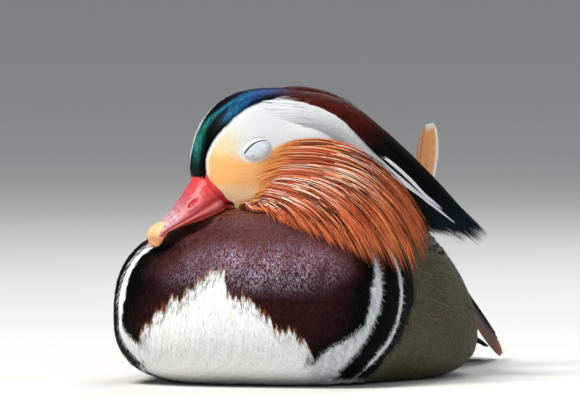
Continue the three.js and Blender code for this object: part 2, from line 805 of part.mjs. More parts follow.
const nailFrom = 1 - BILL.nailLong;
const nostrils = Object.values(SIDES).map((side) => mirrored(nostril(), side));
const bill = placed(upperBill(BILL.from, 1).subtract(joined(nostrils)));
const nailZone = placed(upperBill(nailFrom, 1, 1.5));
const nailRoom = placed(upperBill(nailFrom, 1, 1.5 - GAP));

const room = {
  torso: torsoSolid(GAP),
  neck: neckSolid(GAP),
  head: placed(headSolid(GAP)),
  bill: placed(upperBill(BILL.from, 1, GAP)),
  jaw: placed(lowerBill(GAP)),
  wings: bothSides(wingSolid, GAP),
  legs: bothSides(legHollow),
  eyes: bothSides(eyeSolid, GAP).map(placed),
};

const nodes = {
  torso: [clear(torsoSolid(), [...room.legs, room.jaw, room.bill]), MATERIALS.body],
  neck: [clear(neckSolid(), [room.torso, room.jaw, room.bill]), MATERIALS.neck],
  head: [clear(placed(headSolid()), [room.torso, room.neck, ...room.eyes]), MATERIALS.face],
  bill_upper: [clear(bill, [room.head, nailZone]), MATERIALS.bill],
  bill_nail: [largest(bill.intersect(nailRoom)), MATERIALS.nail],
  bill_lower: [clear(placed(lowerBill()), [room.head, room.bill]), MATERIALS.bill],
  tail: [clear(tailSolid(), [room.torso, ...room.wings]), MATERIALS.tail],
};

for (const [name, side] of Object.entries(SIDES)) {
  nodes["eye_" + name] = [largest(placed(eyeSolid(side))), MATERIALS.lid];
  nodes["wing_" + name] = [clear(wingSolid(side), [room.torso, room.neck]), MATERIALS.wing];
  nodes["sail_" + name] = [clear(sailSolid(side), [room.torso, ...room.wings]), MATERIALS.sail];
  nodes["leg_" + name] = [largest(legSolid(side)), MATERIALS.foot];
}

const body = [room.torso, room.neck, room.head, ...room.wings];
nodes.crest = [clear(placed(crestSolid()), body), MATERIALS.crest];
const shifts = [1, -1].flatMap((d) => [[d * GAP, 0, 0], [0, d * GAP, 0], [0, 0, d * GAP]]);
const crestRoom = shifts.map((shift) => nodes.crest[0].translate(shift));
for (const [name, side] of Object.entries(SIDES)) {
  const meets = [...body, ...room.eyes, ...crestRoom, room.jaw, room.bill];
  nodes["ruff_" + name] = [clear(placed(ruffSolid(side)), meets), MATERIALS.hackle];
}

// The scene

function meshOf(name, shape, look) {
  const { numProp, vertProperties, triVerts } = shape.getMesh();
  const positions = [];
  for (let i = 0; i < vertProperties.length; i += numProp) positions.push(...vertProperties.slice(i, i + 3));
  const geometry = new THREE.BufferGeometry();
  geometry.setAttribute("position", new THREE.Float32BufferAttribute(positions, 3));
  geometry.setIndex([...triVerts]);
  geometry.computeVertexNormals();
  const mesh = new THREE.Mesh(geometry, look);
  mesh.name = name;
  return mesh;
}

const duck = new THREE.Group();
for (const [name, [shape, look]] of Object.entries(nodes)) duck.add(meshOf(name, shape, look));

export default duck;
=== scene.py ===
import math

import bpy
import numpy as np
from mathutils import Matrix, Vector
from mathutils.bvhtree import BVHTree


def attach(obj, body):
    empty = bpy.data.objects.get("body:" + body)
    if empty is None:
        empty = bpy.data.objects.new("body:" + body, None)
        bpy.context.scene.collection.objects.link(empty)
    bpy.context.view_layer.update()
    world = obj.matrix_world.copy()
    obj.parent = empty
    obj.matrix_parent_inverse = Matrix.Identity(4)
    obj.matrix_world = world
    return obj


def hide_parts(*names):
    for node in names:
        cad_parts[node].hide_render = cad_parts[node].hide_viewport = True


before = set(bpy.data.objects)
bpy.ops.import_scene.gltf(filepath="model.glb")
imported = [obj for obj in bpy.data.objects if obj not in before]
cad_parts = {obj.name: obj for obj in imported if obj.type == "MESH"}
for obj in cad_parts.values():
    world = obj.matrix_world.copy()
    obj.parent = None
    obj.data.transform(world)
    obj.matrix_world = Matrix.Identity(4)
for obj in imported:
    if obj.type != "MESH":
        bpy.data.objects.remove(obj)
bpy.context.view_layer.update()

MM = 0.001
rng = np.random.default_rng(11)

# Sizes of the body, as in the solids
NOSE_Y, BREAST_Y, WIDEST_Y, TAIL_Y = -88.0, -45.0, 12.0, 108.0
BREAST_HALF, FLANK_HALF = 55.0, 60.0
NOSE_Z, TAIL_Z = 27.0, 35.0
BREAST_TOP, BACK_TOP = 62.0, 74.0
BREAST_BEAM, FLANK_BEAM, PRESSED = 25.0, 14.0, 1.8
SQUARE_ABOVE, SQUARE_BELOW = (2.7, 1.66), (2.9, 3.2)
NECK_LOW, NECK_HIGH, NECK_RADII = np.array([1.0, -25, 42]), np.array([13.0, -26, 83]), (33.0, 20.0)
HEAD_AT, HEAD_TURN = np.array([-7.5, -48.7, 87.0]), math.radians(-43)
HEAD_CENTRE = np.array([0.0, 18, -9])
FACE_FROM = np.array([0.0, -34, -17])  # the face's feathers and hair strokes fan out from here
HEAD_FRONT, HEAD_BACK, HEAD_UP, HEAD_DOWN, HEAD_HALF = 36.0, 28.0, 31.2, 17.0, 18.0
BROW, NAPE = 2.9, 2.15  # exponents of the head's outline in front of its centre and behind it
THROAT_AT, THROAT_RADII = np.array([-3.0, -54, 59]), np.array([25.0, 12, 6.3])
THROAT = np.array([-4.0, -46, 78])  # the breast's feathers run down and back from here
SKIN_DEPTH = 1.2  # the skin lies this far inside the body's feathers
SKIN_GRAIN = 1.3  # size of the skin's meshes
SKIN_LOW = 0.4  # height of the skin's lowest part over the floor
WAVE = 0.85  # from one fine line of the flank's pattern to the next
FLOOR_GAP = 0.15  # the lowest feathers lie this far above the floor
PATCH_SIZE = 0.003  # a small feather's own part of the map for baking


# Small mathematics

def smooth(a, b, x):
    t = np.clip((np.asarray(x, float) - a) / (b - a), 0, 1)
    return t * t * (3 - 2 * t)


def lerp(a, b, t):
    return a + (b - a) * t


def unit(v):
    return v / np.maximum(np.linalg.norm(v, axis=-1, keepdims=True), 1e-9)


def power(c, e):
    return np.sign(c) * np.abs(c) ** e


def table(x, pairs):
    xs, ys = zip(*pairs)
    return np.interp(x, xs, ys)


def rgb(r, g, b):
    c = np.array([r, g, b]) / 255.0
    return np.where(c <= 0.04045, c / 12.92, ((c + 0.055) / 1.055) ** 2.4)


def blend(a, b, t):
    return a + (b - a) * np.asarray(t)[..., None]


def peak(x, width):
    """1 at zero, and fading to nothing over about twice the width on either side."""
    return np.exp(-((x / width) ** 2))


def ripple(p, scale, seed=0.0):
    """A soft random field between about -1 and 1, with lumps of the given size."""
    q = np.asarray(p) / scale
    x, y, z = q[..., 0] + seed, q[..., 1] + 2.3 * seed, q[..., 2] - 1.7 * seed
    a = np.sin(1.9 * x + 1.3 * y + 0.7 * np.sin(2.3 * z)) * np.sin(1.7 * z - 0.9 * x + seed)
    b = np.sin(3.1 * y - 2.2 * z + 1.1 * np.sin(2.9 * x)) * np.sin(2.6 * x + 1.8 * y)
    return 0.6 * a + 0.4 * b


def through(points, a):
    """A smooth curve through points (n, 3), at shares a of its spans."""
    points = np.asarray(points, float)
    n = len(points)
    at = np.clip(np.asarray(a, float), 0, 1) * (n - 1)
    i = np.minimum(at.astype(int), n - 2)
    w = (at - i)[..., None]
    ends = np.vstack([2 * points[0] - points[1], points, 2 * points[-1] - points[-2]])
    p0, p1, p2, p3 = ends[i], ends[i + 1], ends[i + 2], ends[i + 3]
    spans = (p1 - p0, p2 - p1, p3 - p2)
    d0, d1, d2 = (np.sqrt(np.linalg.norm(span, axis=-1, keepdims=True)) for span in spans)
    t1 = ((p1 - p0) / d0 - (p2 - p0) / (d0 + d1) + (p2 - p1) / d1) * d1
    t2 = ((p2 - p1) / d1 - (p3 - p1) / (d1 + d2) + (p3 - p2) / d2) * d1
    c2, c3 = 3 * (p2 - p1) - 2 * t1 - t2, 2 * (p1 - p2) + t1 + t2
    return p1 + w * (t1 + w * (c2 + w * c3))


def bezier(a, b, c, s):
    return (1 - s) ** 2 * a + 2 * s * (1 - s) * b + s * s * c


def to_world(p):
    c, s = math.cos(HEAD_TURN), math.sin(HEAD_TURN)
    x, y = c * p[..., 0] - s * p[..., 1], s * p[..., 0] + c * p[..., 1]
    return np.stack([x, y, p[..., 2]], -1) + HEAD_AT


def turned(v):
    return to_world(v) - HEAD_AT


def to_head(p):
    c, s = math.cos(HEAD_TURN), math.sin(HEAD_TURN)
    q = p - HEAD_AT
    return np.stack([c * q[..., 0] + s * q[..., 1], -s * q[..., 0] + c * q[..., 1], q[..., 2]], -1)


# The body's surfaces

def torso_ring(y):
    flank = smooth(BREAST_Y, WIDEST_Y, y)
    beam = lerp(BREAST_BEAM, FLANK_BEAM, flank)
    above, below = lerp(*SQUARE_ABOVE, flank), lerp(*SQUARE_BELOW, flank)
    q = np.clip((BREAST_Y - y) / (BREAST_Y - NOSE_Y), 0, 1)
    r = np.clip((y - WIDEST_Y) / (TAIL_Y - WIDEST_Y), 0, 1)
    f = (1 - q**2.3) ** (1 / 2.3)
    g = (1 - r**2.2) ** 0.56
    under = (1 - r**2.6) ** 0.8 * g**0.25
    top = lerp(BREAST_TOP, BACK_TOP, smooth(BREAST_Y, WIDEST_Y - 8, y))
    half = lerp(BREAST_HALF, FLANK_HALF, flank) * f * g
    mid = np.where(y < BREAST_Y, lerp(NOSE_Z, beam, f), lerp(TAIL_Z, beam, g))
    up = (top - beam) * f * g
    down = (beam + PRESSED) * f * under
    return half, mid, up, down, above, below


def torso_point(y, t, inset=0.0):
    y = np.asarray(y, float)
    half, mid, up, down, above, below = torso_ring(y)
    c, s = np.cos(t), np.sin(t)
    e = 2 / np.where(s > 0, above, below)
    x, z = half * power(c, e), power(s, e) * np.where(s > 0, up, down)
    reach = np.maximum(np.hypot(x, z), 1e-6)
    keep = np.maximum(0, 1 - inset / reach)
    return np.stack([x * keep, y + 0 * x, np.maximum(mid + z * keep, inset * 0.3)], -1)


def over(y, t_deg, off):
    """A point off millimetres over the torso, at y and an angle round it, with the normal there."""
    t = np.radians(t_deg)
    p = torso_point(y, t)
    along = torso_point(y + 0.5, t) - torso_point(y - 0.5, t)
    around = torso_point(y, t + 0.01) - torso_point(y, t - 0.01)
    normal = unit(np.cross(along, around))
    out = p[..., 0] * normal[..., 0] + (p[..., 2] - FLANK_BEAM) * normal[..., 2]
    normal = normal * np.where(out < 0, -1, 1)[..., None]
    return p + normal * np.asarray(off)[..., None], normal


def neck_point(s, t, inset):
    f = (1 - np.cos(np.pi * s)) / 2
    ring = np.clip(np.sin(np.pi * s), 0, 1) ** 0.55 * (lerp(*NECK_RADII, f) - inset)
    at = NECK_LOW + (NECK_HIGH - NECK_LOW) * f[..., None]
    return at + np.stack([1.1 * ring * np.cos(t), ring * np.sin(t), 0 * ring], -1)


def head_point(s, t, inset=0.0):
    share = -np.cos(np.pi * s)
    n = np.where(share < 0, BROW, NAPE)
    ring = np.clip(1 - np.abs(share) ** n, 0, 1) ** (1 / n)
    rise = np.sin(t)
    crown = np.where(rise > 0, 1 - 0.16 * rise * rise, 1)
    skin = inset * np.minimum(1, 3 * ring)
    x = (HEAD_HALF * ring - skin) * np.cos(t) * crown
    y = share * (np.where(share < 0, HEAD_FRONT, HEAD_BACK) - inset)
    height = np.where(rise > 0, HEAD_UP, HEAD_DOWN) * power(rise, np.where(rise > 0, 0.96, 0.9))
    z = ring * height - rise * skin
    return HEAD_CENTRE + np.stack([x, y, z], -1)


# Mesh making

def linked(name, data):
    """A new object of the scene from a mesh, a light or a camera."""
    obj = bpy.data.objects.new(name, data)
    bpy.context.scene.collection.objects.link(obj)
    return obj


def new_object(name, mesh, look, replaces=()):
    obj = linked(name, mesh)
    mesh.materials.append(look)
    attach(obj, "root")
    if replaces:
        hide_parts(*replaces)
    return obj


def mesh_of(name, points, tris, colours=None, uv=None, along=None):
    """A mesh in metres from points in millimetres, with its markings and its map for baking."""
    tris = np.asarray(tris, np.int32)
    mesh = bpy.data.meshes.new(name)
    mesh.vertices.add(len(points))
    mesh.vertices.foreach_set("co", (np.asarray(points) * MM).astype(np.float32).ravel())
    mesh.loops.add(tris.size)
    mesh.loops.foreach_set("vertex_index", tris.ravel())
    mesh.polygons.add(len(tris))
    mesh.polygons.foreach_set("loop_start", np.arange(0, tris.size, tris.shape[1], dtype=np.int32))
    mesh.polygons.foreach_set("use_smooth", np.ones(len(tris), bool))
    mesh.update(calc_edges=True)
    if colours is not None:
        layer = mesh.color_attributes.new("Markings", "FLOAT_COLOR", "POINT")
        rgba = np.ones((len(points), 4), np.float32)
        rgba[:, :3] = np.clip(colours, 0, 1)
        layer.data.foreach_set("color", rgba.ravel())
    if uv is not None:
        layer = mesh.uv_layers.new(name="OFBake")
        layer.data.foreach_set("uv", np.asarray(uv, np.float32)[tris.ravel()].ravel())
    if along is not None:
        layer = mesh.attributes.new("Along", "FLOAT", "POINT")
        layer.data.foreach_set("value", np.asarray(along, np.float32))
    return mesh


def grid_of(a, b):
    """Every pair of values from a and b, as two arrays (a, b)."""
    return np.meshgrid(a, b, indexing="ij")


def ring_grid(rows, cols):
    """Shares along a closed body and angles round it."""
    return grid_of(np.linspace(0, 1, rows), np.linspace(0, 2 * np.pi, cols, endpoint=False))


def closed(points):
    """Points and quads of a closed body from a grid of rings (rings, around, 3)."""
    rows, cols = points.shape[:2]
    grid = np.arange(rows * cols).reshape(rows, cols)
    near, far = grid[:-1], grid[1:]
    quads = np.stack([near, np.roll(near, -1, 1), np.roll(far, -1, 1), far], -1).reshape(-1, 4)
    return points.reshape(-1, 3), quads


def halved(quads):
    """Two triangles for each quad."""
    return np.concatenate([quads[:, [0, 1, 2]], quads[:, [0, 2, 3]]])


def joined(parts):
    """One array of points and one of faces, from several pairs of them."""
    starts = np.cumsum([0] + [len(points) for points, _ in parts])
    faces = [faces + start for (_, faces), start in zip(parts, starts)]
    return np.concatenate([points for points, _ in parts]), np.concatenate(faces)


def solid(name, p, colours, uv, look, replaces):
    """One object from the rings of a closed body."""
    points, quads = closed(p)
    mesh = mesh_of(name, points, halved(quads), colours.reshape(-1, 3), uv.reshape(-1, 2))
    return new_object(name, mesh, look, replaces)


def sheets(points, colours, uv, pointed=True, along=None):
    """Arrays for many like sheets of points (n, rows, columns, 3); pointed ones end in one point."""
    n, rows, cols = points.shape[:3]
    size = rows * cols
    grid = np.arange(size).reshape(rows, cols)
    if pointed:
        size -= cols - 1
        grid[-1] = grid[-1, 0]
        points = points.copy()
        points[:, -1, 0] = points[:, -1].mean(1)
    corners = [grid[:-1, :-1], grid[:-1, 1:], grid[1:, 1:], grid[1:, :-1]]
    tris = halved(np.stack(corners, -1).reshape(-1, 4))
    whole = (tris[:, 0] != tris[:, 1]) & (tris[:, 1] != tris[:, 2]) & (tris[:, 0] != tris[:, 2])
    all_tris = (tris[whole][None] + (np.arange(n) * size)[:, None, None]).reshape(-1, 3)

    def flat(values):
        return values.reshape(n, rows * cols, -1)[:, :size].reshape(n * size, -1)

    lanes = np.zeros(n * size) if along is None else flat(along)[:, 0]
    return flat(points), all_tris, flat(colours), flat(uv), lanes


def piece(name, parts, look, replaces=()):
    """One object from the arrays of several kinds of sheets."""
    points, tris = joined([part[:2] for part in parts])
    points[:, 2] = np.maximum(points[:, 2], FLOOR_GAP)
    colours, uv, lanes = (np.concatenate([part[k] for part in parts]) for k in (2, 3, 4))
    mesh = mesh_of(name, points, tris, colours, uv, lanes)
    return new_object(name, mesh, look, replaces)


def patches(root_uv, rows, cols):
    """A small patch of the map at each root (n, 2), for sheets of rows and columns."""
    v, u = grid_of(np.linspace(0, PATCH_SIZE, rows), np.linspace(0, PATCH_SIZE, cols))
    return root_uv[:, None, None, :] * (1 - PATCH_SIZE) + np.stack([u, v], -1)[None]


def wrapped(p, middle, start, length):
    """The map of a long body: share of its length in y, and angle round the height of its middle."""
    angle = np.arctan2(p[..., 2] - middle, p[..., 0]) / (2 * np.pi) + 0.5
    return np.stack([(p[..., 1] - start) / length, angle], -1).clip(0, 1)


def body_map(p):
    return wrapped(p, 30, -92, 204)


def head_map(h):
    return wrapped(h, HEAD_CENTRE[2], -40, 150)


# Materials

def fill(tree, made, inputs):
    """Each input, by name or number, gets its value or a link from the output that feeds it."""
    for key, value in inputs.items():
        if isinstance(value, bpy.types.NodeSocket):
            tree.links.new(value, made.inputs[key])
        else:
            made.inputs[key].default_value = value


def node(tree, kind, inputs, **values):
    """A new shader node with its settings and its inputs."""
    made = tree.nodes.new("ShaderNode" + kind)
    for key, value in values.items():
        setattr(made, key, value)
    fill(tree, made, inputs)
    return made


def calculate(tree, operation, *values):
    """The result of a sum in the shader; each value is a number or another node's output."""
    return node(tree, "Math", dict(enumerate(values)), operation=operation).outputs[0]


def ranged(tree, value, start, end, low, high):
    """A value that runs from start to end, stretched to run from low to high."""
    inputs = {"Value": value, "From Min": start, "From Max": end, "To Min": low, "To Max": high}
    return node(tree, "MapRange", inputs).outputs["Result"]


def scaled(tree, colour, factor):
    return node(tree, "VectorMath", {0: colour, "Scale": factor}, operation="SCALE").outputs["Vector"]


def emboss(tree, shader, height, strength, distance):
    relief = node(tree, "Bump", {"Height": height, "Strength": strength, "Distance": distance})
    fill(tree, shader, {"Normal": relief.outputs["Normal"]})


def plain(name, inputs):
    """A new material with its tree and its shader, which gets the given inputs."""
    made = bpy.data.materials.new(name)
    made.use_nodes = True
    tree = made.node_tree
    shader = tree.nodes["Principled BSDF"]
    fill(tree, shader, inputs)
    return made, tree, shader


def material(name, roughness, mottle, bump=0.15, specular=0.3, grain=(900, 900, 900), coat=0.0,
             subsurface=0.0, vermiculated=False):
    """Feather or horn whose colour is the mesh's own markings, with a fine grain over them."""
    made, tree, shader = plain(name, {
        "Roughness": roughness,
        "Specular IOR Level": specular,
        "Coat Weight": coat,
        "Coat Roughness": 0.25,
    })
    if subsurface:
        soft = {"Subsurface Weight": subsurface, "Subsurface Radius": RED_DEPTH, "Subsurface Scale": 1.0}
        fill(tree, shader, soft)
    place = node(tree, "TexCoord", {}).outputs["Object"]
    stretched = node(tree, "Mapping", {"Vector": place, "Scale": grain}).outputs["Vector"]
    noise = node(tree, "TexNoise", {"Vector": stretched, "Scale": 1.0, "Detail": 3.0}).outputs["Fac"]
    markings = node(tree, "Attribute", {}, attribute_name="Markings").outputs["Color"]
    colour = scaled(tree, markings, ranged(tree, noise, 0.25, 0.75, 1 - mottle, 1 + mottle))
    if vermiculated:
        colour = vermiculation(tree, place, colour)
    fill(tree, shader, {"Base Color": colour})
    emboss(tree, shader, noise, bump, GRAIN_DEPTH)
    return made


def vermiculation(tree, place, colour):
    """Fine wavy dark and pale lines across the lie of the flank's feathers, faint towards the rump."""
    lane = node(tree, "Attribute", {}, attribute_name="Along").outputs["Fac"]
    wander = node(tree, "TexNoise", {"Vector": place, "Scale": 260.0, "Detail": 2.0}).outputs["Fac"]
    shift = calculate(tree, "MULTIPLY_ADD", wander, 1.6, lane)
    wave = calculate(tree, "SINE", calculate(tree, "MULTIPLY", shift, 2 * math.pi / WAVE))
    length = node(tree, "SeparateXYZ", {0: place}).outputs["Y"]
    fade = ranged(tree, length, -10 * MM, 85 * MM, 0.8, 0.1)
    return scaled(tree, colour, calculate(tree, "MULTIPLY_ADD", wave, fade, 1.0))


GRAIN_DEPTH = 0.4 * MM  # depth of the grain's relief
RED_DEPTH = (3.0 * MM, 1.2 * MM, 0.8 * MM)  # how far red, green and blue light go under the bare skin

DOWN = material("body_feather", 0.6, 0.12, bump=0.2, specular=0.08)
MAROON = material("breast_feather", 0.5, 0.12, specular=0.05, grain=(1500, 1500, 700))
FLANK = material("flank_feather", 0.6, 0.1, specular=0.08, vermiculated=True)
VELVET = material("face_feather", 0.75, 0.04, bump=0.08, specular=0.1, grain=(1400, 1400, 1400))
GLOSSY = material("crest_feather", 0.45, 0.2, bump=0.1, specular=0.05)
HACKLE = material("hackle_feather", 0.5, 0.12, bump=0.1, specular=0.12)
QUILL = material("wing_feather", 0.65, 0.15, bump=0.2, specular=0.06)
SAIL = material("sail_feather", 0.5, 0.1, specular=0.2)
BILL = material("bill_skin", 0.42, 0.08, bump=0.2, coat=0.12, subsurface=0.08)
NAIL = material("bill_nail_horn", 0.34, 0.08, bump=0.05, grain=(500, 500, 500), coat=0.25, subsurface=0.12)
LID = material("eyelid_skin", 0.5, 0.04, bump=0.3, grain=(1500, 1500, 1500))

# Colours
WHITE, SNOW, BROW_WHITE = rgb(240, 241, 243), rgb(226, 229, 228), rgb(213, 217, 219)
CREAM, TAN, TAN_LOW, ORANGE = rgb(216, 202, 160), rgb(240, 176, 112), rgb(255, 220, 176), rgb(232, 142, 76)
BLACK, GLINT_LILAC = rgb(2, 2, 3), rgb(214, 190, 220)
MAROON_DARK, MAROON_RED, MAROON_TOP = rgb(34, 13, 15), rgb(46, 17, 17), rgb(90, 51, 52)
FRINGE, CHIN = rgb(150, 84, 46), rgb(122, 72, 52)
OLIVE, OLIVE_PALE, FLANK_SKY_SHEEN = rgb(66, 65, 46), rgb(78, 76, 57), rgb(74, 80, 84)
BROWN, BRONZE = rgb(74, 62, 44), rgb(60, 62, 44)
TEAL, DEEP_TEAL = rgb(44, 146, 136), rgb(14, 36, 34)
BLUE, AZURE, VIOLET = rgb(26, 78, 138), rgb(40, 124, 168), rgb(56, 46, 116)
COPPER, CROWN = rgb(68, 18, 10), rgb(20, 14, 28)
CHESTNUT, RUST, FLAME, SHAFT = rgb(116, 38, 20), rgb(224, 104, 58), rgb(240, 140, 84), rgb(255, 240, 218)
SPECK = rgb(110, 24, 28)


# Markings of the body, in the row's frame

BAR_SHIFT = 0.42  # on the duck's right the breast is pulled forward, and the bars with it
# y of each edge against height: the dark front's, both edges of the two white bars, and the flank's
BAR_EDGES = {
    "maroon": [(0, -84), (15.6, -79.2), (21, -74.6), (37.5, -70.7), (42, -66.4), (60, -56)],
    "first": [(0, -66), (5, -72.5), (9, -76), (11.7, -77.6), (15, -77.5), (19.6, -73.4), (24, -69),
              (30, -67.3), (36, -65.6), (44.4, -60), (60, -50)],
    "gap": [(0, -58), (4, -65), (7, -67.9), (10.8, -69.3), (15.2, -68.6), (17, -67.8), (24, -64.9),
            (29, -61.8), (37, -59.1), (43, -56.5), (60, -46)],
    "second": [(0, -52), (4, -58), (6.7, -60.5), (9.8, -61.8), (14.2, -60.5), (19.5, -56.2), (24, -52.5),
               (31.4, -48.3), (37.8, -45.8), (45, -42.2), (60, -34)],
    "last": [(0, -50), (4, -57), (5.9, -58.9), (9.7, -58.9), (12.6, -58.1), (17.2, -54), (24.2, -48.7),
             (30.7, -42.8), (37.6, -39.8), (45, -36.3), (60, -27)],
    "flank": [(0, -44), (4, -51), (10.8, -54.5), (13, -52.7), (17.2, -47.1), (25, -38.6), (30, -33),
              (35.8, -29.9), (42.8, -27.7), (60, -20)],
}
# height of the white patch that climbs the breast, against x
PATCH_TOP = [(-60, -6), (-42, -4), (-39, 8), (-36, 21), (-31, 24), (-28, 29), (-20, 31), (-15, 36),
             (-9, 41), (-5, 43.5), (-2, 42), (0, 35), (5, 32), (11, 31), (14, 27), (18, 21.5), (25, 21),
             (28, 17.5), (30, 14), (31.5, -6)]
BELLY_TOP = 2.5


def edge(name, p):
    """How far p lies behind one of the bars' edges."""
    z = p[..., 2]
    shift = BAR_SHIFT * np.maximum(0, z - 20) * smooth(0, -24, p[..., 0])
    return p[..., 1] - table(z, BAR_EDGES[name]) + shift


def crisp(distance):
    """0 before an edge and 1 past it, with little between."""
    return smooth(-0.3, 0.3, distance)


def body_colour(p):
    x, y, z = p[..., 0], p[..., 1], p[..., 2]
    fray = ripple(p, 1.6) * 0.35 + ripple(p, 0.5, 3) * 0.2
    # maroon breast, browner on its upper slope
    colour = blend(MAROON_DARK, MAROON_RED, 0.5 + 0.5 * ripple(p, 9, 1))
    colour = blend(colour, MAROON_TOP, smooth(36, 54, z))
    colour = blend(colour, CHIN, smooth(60, 64.5, z))
    colour = blend(colour, BLACK, smooth(-7, 2.0, edge("maroon", p) + 2 * fray) * (1 - smooth(50, 56, z)))
    bars = 0
    for start, end, wear in (("first", "gap", 1.0), ("second", "last", 0.5)):
        bars = bars + crisp(edge(start, p) + wear * fray) * (1 - crisp(edge(end, p) + 0.5 * fray))
    silver = blend(SNOW, rgb(172, 180, 192), 0.5 + 0.5 * ripple(p * [1, 1, 0.4], 1.2, 7))
    # painted light: the bars whiter on the duck's right, the side the key light comes from
    silver = blend(silver, WHITE, smooth(-15, -30, x))
    colour = blend(colour, silver, np.clip(bars, 0, 1) * (1 - smooth(50, 55, z)))
    # flank, back and rump
    flank = blend(OLIVE, OLIVE_PALE, 0.5 + 0.5 * ripple(p, 12, 2))
    # painted reflection: a bluish-grey sheen of the sky over the upper rear flank
    flank = blend(flank, FLANK_SKY_SHEEN, 0.8 * smooth(20, 70, y) * smooth(20, 36, z))
    flank = blend(flank, BROWN, smooth(54, 62, z))
    colour = blend(colour, flank, smooth(-0.5, 0.5, edge("flank", p) + 0.5 * fray))
    # white belly, with a ragged edge where it climbs the breast
    torn = 2.0 * ripple(p * [1, 1, 0.25], 1.1, 5) + 1.8 * ripple(p * [1, 1, 0.3], 4, 6)
    torn = torn + 1.6 * ripple(p * [1, 1, 0.12], 0.45, 8)
    depth = table(x, PATCH_TOP) - z + torn
    # low in front the white reaches back to the bars
    room = table(z, [(0, 40), (6, 20), (11, 8), (16, 0)])
    room = room * smooth(30, 22, x + 0.8 * torn) * smooth(-49, -45, x)
    ahead = 1 - smooth(-2, 6, edge("maroon", p) - room)
    front = smooth(-86, -78, y)
    under = smooth(-1.0, 1.0, BELLY_TOP + 0.3 * torn - z) * front * (1 - smooth(-5, 5, edge("flank", p)))
    under = np.maximum(under, smooth(1, 5, room) * smooth(0, 4, room - np.maximum(edge("maroon", p), 0)))
    vent = smooth(80, 96, y) * (1 - smooth(24, 33, z))
    rust = peak(depth + 0.7, 0.7) * ahead * (z > 9) * (0.4 + 0.6 * (ripple(p, 2.5, 9) > 0))
    colour = blend(colour, FRINGE, 0.75 * rust)
    patch = smooth(-0.5, 0.5, depth) * ahead
    dusk = blend(WHITE, rgb(222, 223, 218), 0.5 + 0.5 * ripple(p * [1, 1, 0.15], 0.9, 3))
    return blend(colour, dusk, np.clip(np.maximum(np.maximum(patch, under), vent), 0, 1))


# Markings of the head, in its own frame

LID_AT, LID_LONG, LID_HIGH, LID_TILT = np.array([15.1, -1.1, 0.4]), 5.6, 3.8, math.radians(20)
# half the width of the dark crown, against the turn over the head from the bill to the nape
CROWN_HALF = [(0, 5.4), (8, 4.8), (14, 5.4), (19, 6.3), (23, 6.9), (28, 7.7), (34, 8.3), (47, 8.2),
              (56, 7.7), (70, 7.1), (85, 7.4), (97, 8.2), (111, 8.8), (130, 8.0)]
# the far brow reaches further over the forehead
CROWN_FAR = [(0, 5.4), (5, 5.2), (9, 4.5), (13, 3.9), (20, 2.6), (27, 1.5), (31, 1.0), (37, 0.5), (46, 0.4),
             (52, 1.5), (60, 7.4)] + CROWN_HALF[-5:]
# how far the crown's two bright lines run from its middle, against the same turn
TEAL_LINE = [(0, 1.4), (8, 0.9), (20, 0.9), (26, 1.2), (32, 2.6), (38, 3.9), (46, 4.8), (54, 4.7),
             (62, 4.1), (71, 3.2), (90, 2.9)]
BLUE_LINE = [(30, 8.3), (37, 7.9), (44, 7.6), (51, 6.9), (59, 6.0), (67, 5.2), (75, 4.2), (90, 3.4)]
# height of the tan cheek's upper edge against y, and y of the bill's edge against height
TAN_TOP = [(-18, -2.9), (-14, -2.4), (-12, -2.8), (-9, -3.5), (-7, -3.9), (-1, -3.6), (2, -3.0),
           (4.5, -0.7), (6.3, 0.7), (10, 1.4), (19, 2.9), (26, 3)]
BILL_EDGE = [(-24, -5), (-20.7, -7.1), (-19.5, -9), (-18.4, -11.1), (-17, -12.1), (-15.4, -13.7),
             (-13.5, -15.4), (-11.7, -16.7), (-10.2, -17.2), (-8.4, -17.9)]


def turn_of(h):
    """How far over the head from the bill's root to the nape, in degrees."""
    return np.degrees(np.arctan2(h[..., 2] - HEAD_CENTRE[2], HEAD_CENTRE[1] - h[..., 1]))


def crown_half(x, turn):
    """Half the width of the dark crown, on the side that x is on."""
    return np.where(x < 0, table(turn, CROWN_FAR), table(turn, CROWN_HALF))


def lid_reach(h):
    """Distance from the middle of the lids, as a share of their oval."""
    b, u = h[..., 1] - LID_AT[1], h[..., 2] - LID_AT[2]
    c, s = math.cos(LID_TILT), math.sin(LID_TILT)
    return np.hypot((b * c + u * s) / LID_LONG, (u * c - b * s) / LID_HIGH)


def crown_colour(h):
    x, turn = np.abs(h[..., 0]), turn_of(h)
    thread = ripple(h * [2.6, 0.25, 0.25], 0.8, 4)
    dark = blend(BLACK, CROWN, smooth(30, 70, turn))
    bright = blend(DEEP_TEAL, TEAL, smooth(3, 16, turn))
    bright = blend(bright, AZURE, smooth(30, 44, turn))
    bright = blend(bright, BLUE, smooth(52, 72, turn))
    bright = blend(bright, VIOLET, smooth(74, 84, turn))
    width = table(turn, [(0, 1.6), (20, 2.0), (30, 1.4), (40, 0.7), (55, 1.0), (65, 2.0), (90, 1.8)])
    line = peak(x - table(turn, TEAL_LINE), width) * (0.62 + 0.6 * thread)
    colour = blend(dark, bright, np.clip(line, 0, 1) * (1 - smooth(92, 112, turn)))
    second = peak(x - table(turn, BLUE_LINE), 1.3) * smooth(30, 42, turn) * (0.7 + 0.5 * thread)
    second = np.clip(second, 0, 1) * (1 - smooth(74, 86, turn))
    colour = blend(colour, blend(AZURE, BLUE, smooth(40, 62, turn)), second)
    return blend(colour, COPPER, smooth(90, 103, turn + 0.5 * x))


def hairs(h):
    """Fine streaks that fan back from the bill."""
    b, u = h[..., 1] - FACE_FROM[1], h[..., 2] - FACE_FROM[2]
    return ripple(np.stack([np.arctan2(u, b) * 34, 0.3 * np.hypot(b, u), 0.9 * h[..., 0]], -1), 0.27, 5)


